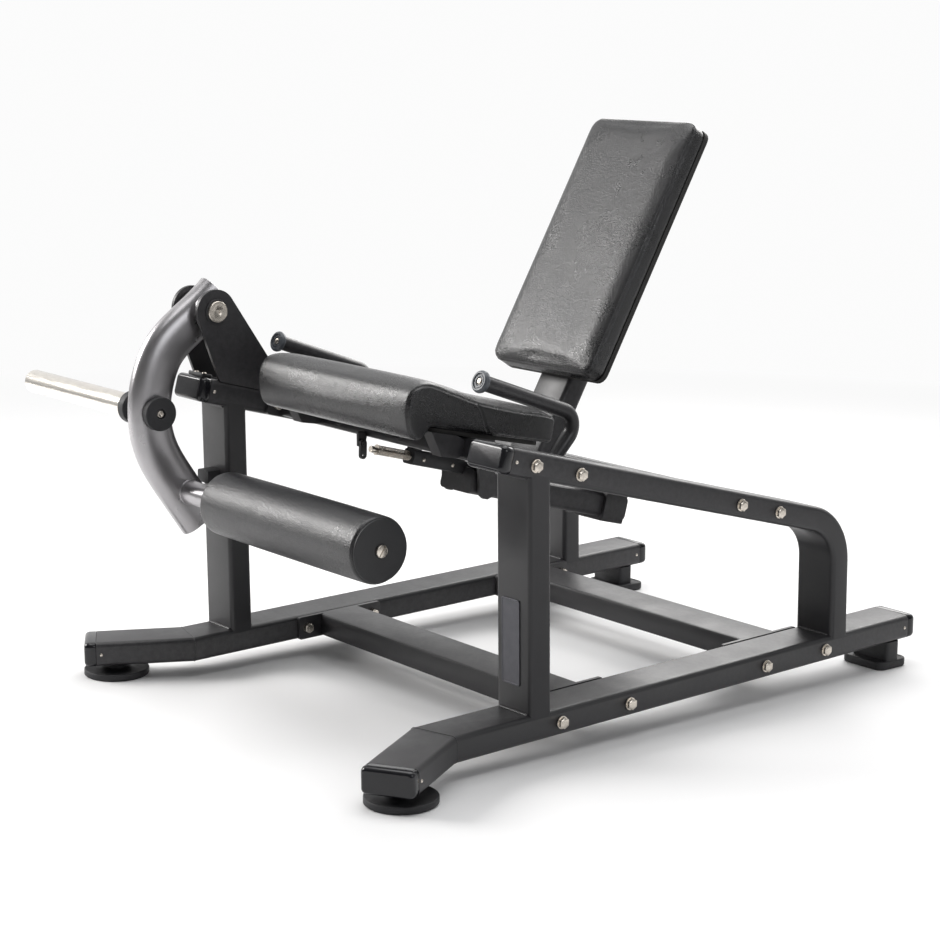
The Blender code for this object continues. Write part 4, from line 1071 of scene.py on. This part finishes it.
def stitches(name, rows, body, radius=0.00042, long=0.0036, gap=0.0013):
    """Rows of thread stitches, each a short round-ended rod pressed a little into the cover."""
    bm = bmesh.new()
    sides = 6
    for row in rows:
        walked, begin = 0.0, None
        for (a, normal), (b, _) in zip(row, row[1:]):
            if begin is None:
                begin = (a, normal)
            walked += (b - a).length
            if walked < long:
                continue
            start_at, out = begin
            along = (b - start_at).normalized()
            side = along.cross(out).normalized()
            length = (b - start_at).length - gap
            rings = []
            for t, r in ((0, 0.35), (0.12, 0.9), (0.5, 1.0), (0.88, 0.9), (1, 0.35)):
                lift = 0.00030 * math.sin(math.pi * t) - 0.00012
                centre = start_at + along * (gap / 2 + length * t) + out * lift
                ring = [centre + side * u + out * v for u, v in circle(radius * r, sides)]
                rings.append([bm.verts.new(p) for p in ring])
            for near, far in zip(rings, rings[1:]):
                for i in range(sides):
                    bm.faces.new((near[i], near[(i + 1) % sides], far[(i + 1) % sides], far[i]))
            bm.faces.new(rings[0])
            bm.faces.new(rings[-1])
            walked, begin = 0.0, None
    return dress(new_object(name, bm, WORLD), "vinyl", body, smooth=80, finish="thread")


def beside(tree, line, distance):
    """A row beside a seam, on the surface, at a distance to its left (or right, if negative)."""
    row = []
    for (a, normal), (b, _) in zip(line, line[1:]):
        side = (b - a).cross(normal)
        if side.length > 1e-9:
            row.append(tree.find_nearest(a + side.normalized() * distance)[:2])
    return row


def sewn(pad, seams, width, apart, name, body):
    """Draws a cover in along its seams and sews a row of stitches on each side of every seam."""
    creased(pad, seams, width)
    tree = surface_of(pad)
    stitches(name, [beside(tree, seam, distance) for seam in seams for distance in (-apart, apart)], body)


def seat_outline():
    """Side view of the seat pad: board line, knee roll and sloping top, as a closed smooth path."""
    rise = math.tan(SEAT_PITCH)
    under = (-0.118, -0.200, -0.300, -0.380, -0.412)
    knots = [(y, SEAT_REAR_Z - rise * (y - SEAT_REAR_Y) + 0.0006) for y in under]
    knots += [(-0.430, 0.534), (-0.446, 0.536), (-0.459, 0.552), (-0.464, 0.590), (-0.456, 0.620)]
    knots += [(-0.437, 0.634), (-0.407, 0.633), (-0.353, 0.613), (-0.292, 0.589), (-0.210, 0.565)]
    knots += [(-0.116, 0.541), (-0.108, 0.522)]
    return flowing([Vector(p) for p in knots + knots[:1]], 5)[:-1]


def seat_cushion():
    """Vinyl seat pad: a crowned knee roll, a flatter rear and double-stitched seams at its sides."""
    half = (span_x("seat_cushion")[1] - span_x("seat_cushion")[0]) / 2 - 0.004
    outline = [Vector(p) for p in seat_outline()]
    centre = sum(outline, Vector((0, 0))) / len(outline)
    edge = 0.011
    near = [(half - depth, inset) for depth, inset in quarter(edge, edge, 5)[::-1]]
    rings = []
    for x, inset in [(-x, inset) for x, inset in near] + near[::-1]:
        rings.append([(x, *(p + (centre - p).normalized() * inset)) for p in outline])
    pad = skin("seat_pad", rings)
    remeshed(pad, CELL)
    board = inclined(SEAT_REAR_Y, SEAT_REAR_Z, SEAT_PITCH)
    to_board = (LEVEL @ board).inverted()

    def on_board(p):
        q = to_board @ p
        return q.z < 0.004 and abs(q.x) < 0.238 and q.y > -0.285

    stuffed(pad, 0.010, on_board)
    subdivided(pad)
    tree = surface_of(pad)
    seams = []
    for sign in (-1, 1):
        for out, line in ((half - 0.0015, outline + outline[:1]), (half + 0.01, SIDE_SEAM)):
            seams.append(laid_on(tree, [LEVEL @ Vector((sign * out, *p)) for p in line]))
    sewn(pad, seams, SEAM_WIDTH, 0.0052, "seat_stitching", "frame")
    return dress(pad, "vinyl", "frame", "seat_cushion", smooth=180)


def back_place():
    """Frame on the backrest's lower front edge: X, up along the face, then rearwards through the pad."""
    place = Matrix.Translation((0, BACK_Y, BACK_Z)) @ Matrix.Rotation(BACK_LEAN, 4, "X")
    return place @ Matrix.Diagonal((1, 1, -1, 1))


def backrest_cushion():
    """Vinyl back pad: softly crowned face, full corners, and a double-stitched seam round its front edge."""
    half, length, thick, corner = 0.1555, 0.569, 0.0435, 0.026
    place = back_place()
    middle_v = 0.287
    edge = 0.010
    stations = quarter(edge, edge, 6)[::-1]
    stations += [(thick - 0.006, 0.0), (thick - 0.0015, 0.0015), (thick, 0.004)]
    rings = []
    for depth, inset in stations:
        outline = rounded(2 * (half - inset), length - 2 * inset, corner - inset / 2, 8)
        rings.append([place @ Vector((u, v + middle_v, depth + 0.003)) for u, v in outline])
    pad = skin("back_pad", rings)
    remeshed(pad, CELL)
    to_pad = (LEVEL @ place).inverted()
    stuffed(pad, 0.009, lambda p: (to_pad @ p).z > thick - 0.006)
    subdivided(pad)
    tree = surface_of(pad)
    outline = rounded(2 * half, length, corner, 8)
    rim = [LEVEL @ place @ Vector((u * 1.02, v * 1.006 + middle_v, 0.009)) for u, v in outline]
    sewn(pad, [laid_on(tree, rim + rim[:1])], 0.0020, 0.0045, "back_stitching", "backrest")
    return dress(pad, "vinyl", "backrest", "backrest_cushion", smooth=180)


# Handles


def handle_path(x):
    corners = [(-0.3585, 0.645), (-0.1154, 0.5526), (-0.1987, 0.4693), (-0.2482, 0.4833)]
    return in_side_plane(fillet(corners, HANDLE_BEND, 18), x)


def handle(side):
    x = SIGN[side] * HANDLE_X
    path = handle_path(x)
    grip_in = (path[1] - path[0]).normalized()
    path[0] = path[0] + grip_in * 0.009
    tube = sweep("grip_bar_" + side, path, (1, 0, 0), circle(HANDLE_RADIUS, 40))
    dress(tube, "frame_paint", "frame", "handle_" + side, smooth=50)
    end = path[-1]
    ring = [end + Vector((u, 0.0005, v)) for u, v in circle(HANDLE_RADIUS + 0.0008, 84)]
    dress(bead("grip_bar_weld_" + side, ring + ring[:1], 0.0022), "frame_paint", "frame", smooth=60)


def grip_plug(side):
    """Flanged plug in the handle's open end, ringed and dished, with a bright screw in its middle."""
    x = SIGN[side] * HANDLE_X
    path = handle_path(x)
    place = Matrix.Translation(path[0]) @ turned_to(path[1] - path[0])
    profile = [(-0.0012, 0.0040), (-0.0012, 0.0078), (-0.0034, 0.0090), (-0.0034, 0.0112)]
    profile += [(-0.0024, 0.0122), (-0.0024, 0.0140), (-0.0050, 0.0152), (-0.0050, 0.0174)]
    profile += [(-0.0032, 0.0197), (-0.0004, 0.0209), (0.0030, 0.0209), (0.0066, 0.0196)]
    profile += [(0.0087, 0.0158), (0.0087, 0.0112), (0.019, 0.0112), (0.019, 0.0040)]
    plug = turned("grip_plug_" + side, profile, 56, place, True)
    dress(plug, "grey_plastic", "frame", "grip_cap_" + side, smooth=35)
    head = [(0.004, 0.0038)]
    head += [(-0.0026 - 0.0016 * math.sin(t), 0.0062 * math.cos(t)) for t in np.linspace(0, 1.2, 6)]
    dress(turned("grip_screw_" + side, head, 32, place), "zinc", "frame", smooth=50)


# Lock of the sliding beam


def lock_spring():
    """Coil spring round the lock rod, ahead of the housing; the real one shortens as the backrest slides
    back, but this one is drawn at one length.
    """
    low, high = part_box("lock_spring")
    joint = joint_of("backrest_slide")
    axis = Vector(joint["axis"]).normalized()
    rod = middle("lock_rod")
    first, last = (low.y - rod.y) / axis.y + 0.005, (high.y - rod.y) / axis.y
    side = Vector((1, 0, 0))
    up = side.cross(axis)
    turns, wire, coil, per_turn = 22, 0.00085, 0.0087, 20
    rings = []
    for i in range(turns * per_turn + 1):
        turn = math.tau * i / per_turn
        out = side * math.cos(turn) + up * math.sin(turn)
        centre = rod + axis * (first + (last - first) * i / (turns * per_turn)) + out * coil
        rings.append([centre + out * u + axis * v for u, v in circle(wire, 8)])
    spring = dress(skin("brake_spring", rings, False, WORLD), "zinc", "frame", "lock_spring", smooth=80)
    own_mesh(spring)
    washer_at = Matrix.Translation(rod + axis * (first - 0.0022)) @ turned_to(axis)
    profile = [(0, 0.0052), (0, 0.0102), (0.0003, 0.0106), (0.0012, 0.0106), (0.0015, 0.0102)]
    profile.append((0.0015, 0.0052))
    dress(turned("spring_washer", profile, 40, washer_at, True, WORLD), "zinc", "backrest", smooth=35)


def housing_screws():
    """Two round screw heads on the lock housing's near face."""
    low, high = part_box("lock_housing")
    axis = Vector(joint_of("backrest_slide")["axis"])
    centre = (low + high) / 2
    heads = []
    for share in (-0.30, 0.26):
        point = centre + axis * share * (high.y - low.y)
        point.x = high.x
        point.z -= 0.004
        heads.append(pan_head("head", TO_LEVEL @ point, (1, 0, 0), 0.0042))
    dress(joined("housing_screws", heads), "zinc", "frame", smooth=60)


# Small parts of the frame


def badge():
    """Blank plate with a raised rim."""
    low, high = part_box("badge")
    centre = level("badge")
    face = centre.y - 0.001
    back = centre.y + 0.001
    wide, tall = high.x - low.x, high.z - low.z
    stations = [(back, 0.0), (face + 0.0006, 0.0), (face, 0.0006), (face, 0.0026), (face + 0.0007, 0.0034)]
    rings = []
    for y, inset in stations:
        outline = rounded(wide - 2 * inset, tall - 2 * inset, max(0.001, 0.004 - inset / 2))
        rings.append([(centre.x + u, y, centre.z + v) for u, v in outline])
    dress(skin("blank_badge", rings), "matte_plastic", "frame", "badge", smooth=35, finish="badge")


def beam_plugs():
    """Dark round plugs in the front face of the seat's cross member."""
    y = -0.2915
    place = inclined(y, upper_centre(y), SLOPE)
    plugs = []
    for x in (-0.149, 0.047):
        turn = Matrix.Rotation(-math.pi / 2, 4, "Z")
        at = place @ Matrix.Translation((x, -0.042, 0)) @ turn
        profile = [(-0.001, 0.0130), (0.0012, 0.0130), (0.0024, 0.0118), (0.0026, 0.0100), (0.0016, 0.0090)]
        plugs.append(turned("plug", profile, 40, at))
    dress(joined("cross_member_plugs", plugs), "matte_plastic", "frame", smooth=35)


def plate_stop():
    """Small block on the right rail's front end, under the arm, held by two screws."""
    y = -0.490
    place = inclined(y, upper_top(y), SLOPE, -SIDE_X)
    upright = place @ Matrix.Rotation(-math.pi / 2, 4, "Y")
    outline = [(v, u) for u, v in rounded(0.062, 0.024, 0.008)]
    dress(plate("rail_stop", outline, upright, 0.0002, 0.0072, 0.002), "rubber", "frame", smooth=40)
    heads = []
    for x in (-0.014, 0.014):
        at = place @ Vector((x, 0, 0.0070))
        heads.append(pan_head("head", at, place.to_3x3() @ Vector((0, 0, 1)), 0.0048))
    dress(joined("rail_stop_screws", heads), "zinc", "frame", smooth=60)


# Feet


def front_foot(side):
    """Turned rubber puck under a short threaded neck."""
    node = "front_foot_" + side
    low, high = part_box(node)
    centre = (low + high) / 2
    radius = (high.x - low.x) / 2
    thick = 0.014
    profile = [(0.0, radius - 0.0035), (0.0016, radius - 0.0008), (0.003, radius)]
    profile += rim(thick, radius, 0.0022, 1, 5)
    dished = [(0.0005, 0.92), (0.0015, 0.86), (0.0018, 0.60), (0.0008, 0.48), (-0.004, 0.38)]
    profile += [(thick - drop, radius * share) for drop, share in dished]
    profile += [(high.z - 0.002, 0.0225), (high.z, 0.0215)]
    foot = turned("levelling_foot_" + side, profile, 96, about_z(centre.x, centre.y), False, WORLD)
    return dress(foot, "rubber", "frame", node, smooth=30)


def rear_foot(side):
    """Moulded foot: a rounded base plate with a bolt slot, and a box column up to the rail."""
    node = "rear_foot_" + side
    low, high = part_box(node)
    column_x = CENTRE_X + SIGN[side] * SIDE_X
    centre = (low + high) / 2
    wide, deep = high.x - low.x, high.y - low.y
    thick = 0.018

    def layer(outline, x, y, z):
        return [(x + u, y + v, z) for u, v in outline]

    stations = [(0, 0.003), (0.0015, 0.0008), (0.0035, 0.0)]
    stations += [(thick - depth, inset) for depth, inset in quarter(0.003, 0.003, 6)]
    rings = []
    for z, inset in stations + [(thick, 0.0055), (thick - 0.0012, 0.0068)]:
        outline = rounded(wide - 2 * inset, deep - 2 * inset, 0.020 - inset / 2, 10)
        rings.append(layer(outline, centre.x, centre.y, z))
    base = skin("moulded_foot_" + side, rings, False, WORLD)
    for outline, y, heights, operation in (
        (rounded(0.096, 0.039, 0.008), centre.y - 0.004, (0.010, high.z), "UNION"),
        (rounded(0.036, 0.010, 0.0048), high.y - 0.016, (0.006, 0.03), "DIFFERENCE"),
    ):
        tool = skin("tool", [layer(outline, column_x, y, z) for z in heights], False, WORLD)
        union(base, tool, operation=operation)
    return dress(base, "rubber", "frame", node, smooth=32)


# Stage


def floor():
    """Wide pale floor that runs out into the same white as the backdrop."""
    bpy.ops.mesh.primitive_plane_add(size=60, location=(CENTRE_X, 0, 0))
    obj = bpy.context.object
    obj.name = "floor"
    material, tree, shader, coords = start("floor", 0.0, Roughness=0.7)
    cloud = noise(tree, coords, 0.9, 3.0)
    pale = tinted(tree, cloud, (0.82, 0.82, 0.825), (0.86, 0.86, 0.86))
    tree.links.new(pale, shader.inputs["Base Color"])
    away = add(tree, "VectorMath", {0: coords, 1: (0.0, 0.6, 0.0)}, operation="DISTANCE").outputs["Value"]
    far = ranged(tree, away, 1.0, 4.5, 0.0, 1.0)
    seen = add(tree, "LightPath").outputs["Is Camera Ray"]
    share = add(tree, "Math", {0: far, 1: seen}, operation="MULTIPLY").outputs[0]
    glow = add(tree, "Emission", {"Color": (1, 1, 1, 1), "Strength": BACKDROP}).outputs[0]
    mixed = add(tree, "MixShader", {0: share, 1: shader.outputs[0], 2: glow}).outputs[0]
    tree.links.new(mixed, tree.nodes["Material Output"].inputs["Surface"])
    obj.data.materials.append(material)


def backdrop():
    """White for the camera; for all else bright behind and above the machine, dim on the camera's side."""
    world = bpy.data.worlds.new("studio")
    bpy.context.scene.world = world
    world.use_nodes = True
    tree = world.node_tree
    way = add(tree, "TexCoord").outputs["Generated"]
    facing = add(tree, "VectorMath", {0: way, 1: BEHIND}, operation="DOT_PRODUCT").outputs["Value"]
    lit = ranged(tree, facing, -0.1, 0.85, 0.12, 0.95)
    seen = add(tree, "LightPath").outputs["Is Camera Ray"]
    strength = add(tree, "Mix", {0: seen, 2: lit, 3: BACKDROP}).outputs[0]
    background = tree.nodes["Background"]
    background.inputs["Color"].default_value = (1, 1, 1, 1)
    tree.links.new(strength, background.inputs["Strength"])


def lights():
    """A large key on the camera's left, a weak fill on its right, a strip behind and a panel above."""
    centre = Vector((CENTRE_X, middle("seat_board").y, 0))
    target = centre + Vector((0, 0, 0.45))
    for name, place, size, power, colour in (
        ("key", (-3.3, -2.6, 2.50), (2.2, 1.8), 190, (1.0, 0.985, 0.97)),
        ("fill", (3.9, 0.4, 2.0), (1.6, 1.8), 22, (0.97, 0.98, 1.0)),
        ("rim", (-1.4, 3.4, 2.3), (3.4, 1.4), 85, (1.0, 0.985, 0.97)),
        ("top", (0.1, 0.3, 3.4), (3.0, 3.0), 62, (1.0, 1.0, 1.0)),
    ):
        lamp = bpy.data.lights.new(name, "AREA")
        lamp.shape = "RECTANGLE"
        lamp.size, lamp.size_y = size
        lamp.energy = power
        lamp.color = colour
        obj = bpy.data.objects.new(name, lamp)
        bpy.context.scene.collection.objects.link(obj)
        obj.location = centre + Vector(place)
        obj.rotation_euler = (target - obj.location).to_track_quat("-Z", "Y").to_euler()
    view = bpy.context.scene.view_settings
    view.view_transform = "Standard"
    view.look = "None"


def camera():
    """View from the machine's front left, a little above the seat."""
    data = bpy.data.cameras.new("camera")
    obj = bpy.data.objects.new("camera", data)
    bpy.context.scene.collection.objects.link(obj)
    bearing, pitch, roll = math.radians(49.9), math.radians(11.5), math.radians(-0.1)
    ahead = Vector((-math.sin(bearing), math.cos(bearing), 0)) * math.cos(pitch)
    forward = ahead - Vector((0, 0, math.sin(pitch)))
    aim = forward.to_track_quat("-Z", "Y").to_matrix().to_4x4() @ Matrix.Rotation(roll, 4, "Z")
    obj.matrix_world = LEVEL @ Matrix.Translation((3.2656, -2.7145, 1.2716)) @ aim
    data.sensor_width = 36
    data.lens = 81.57
    data.shift_x = -0.0650
    data.shift_y = -0.0129
    bpy.context.scene.camera = obj


# Assembly


def build():
    kept_nodes()
    for side in ("left", "right"):
        side_frame(side)
        side_welds(side)
        mitre_seam(side)
        rail_ends(side)
        handle(side)
        grip_plug(side)
        front_foot(side)
        rear_foot(side)
    for node in sorted(frame["nodes"]):
        if node.startswith("bolt_"):
            bolt(node)
    lever_arm()
    arm_welds()
    pivot_fittings()
    weight_horn()
    arm_fittings()
    roller()
    seat_cushion()
    backrest_cushion()
    lock_spring()
    housing_screws()
    badge()
    beam_plugs()
    plate_stop()
    floor()
    backdrop()
    lights()
    camera()


build()
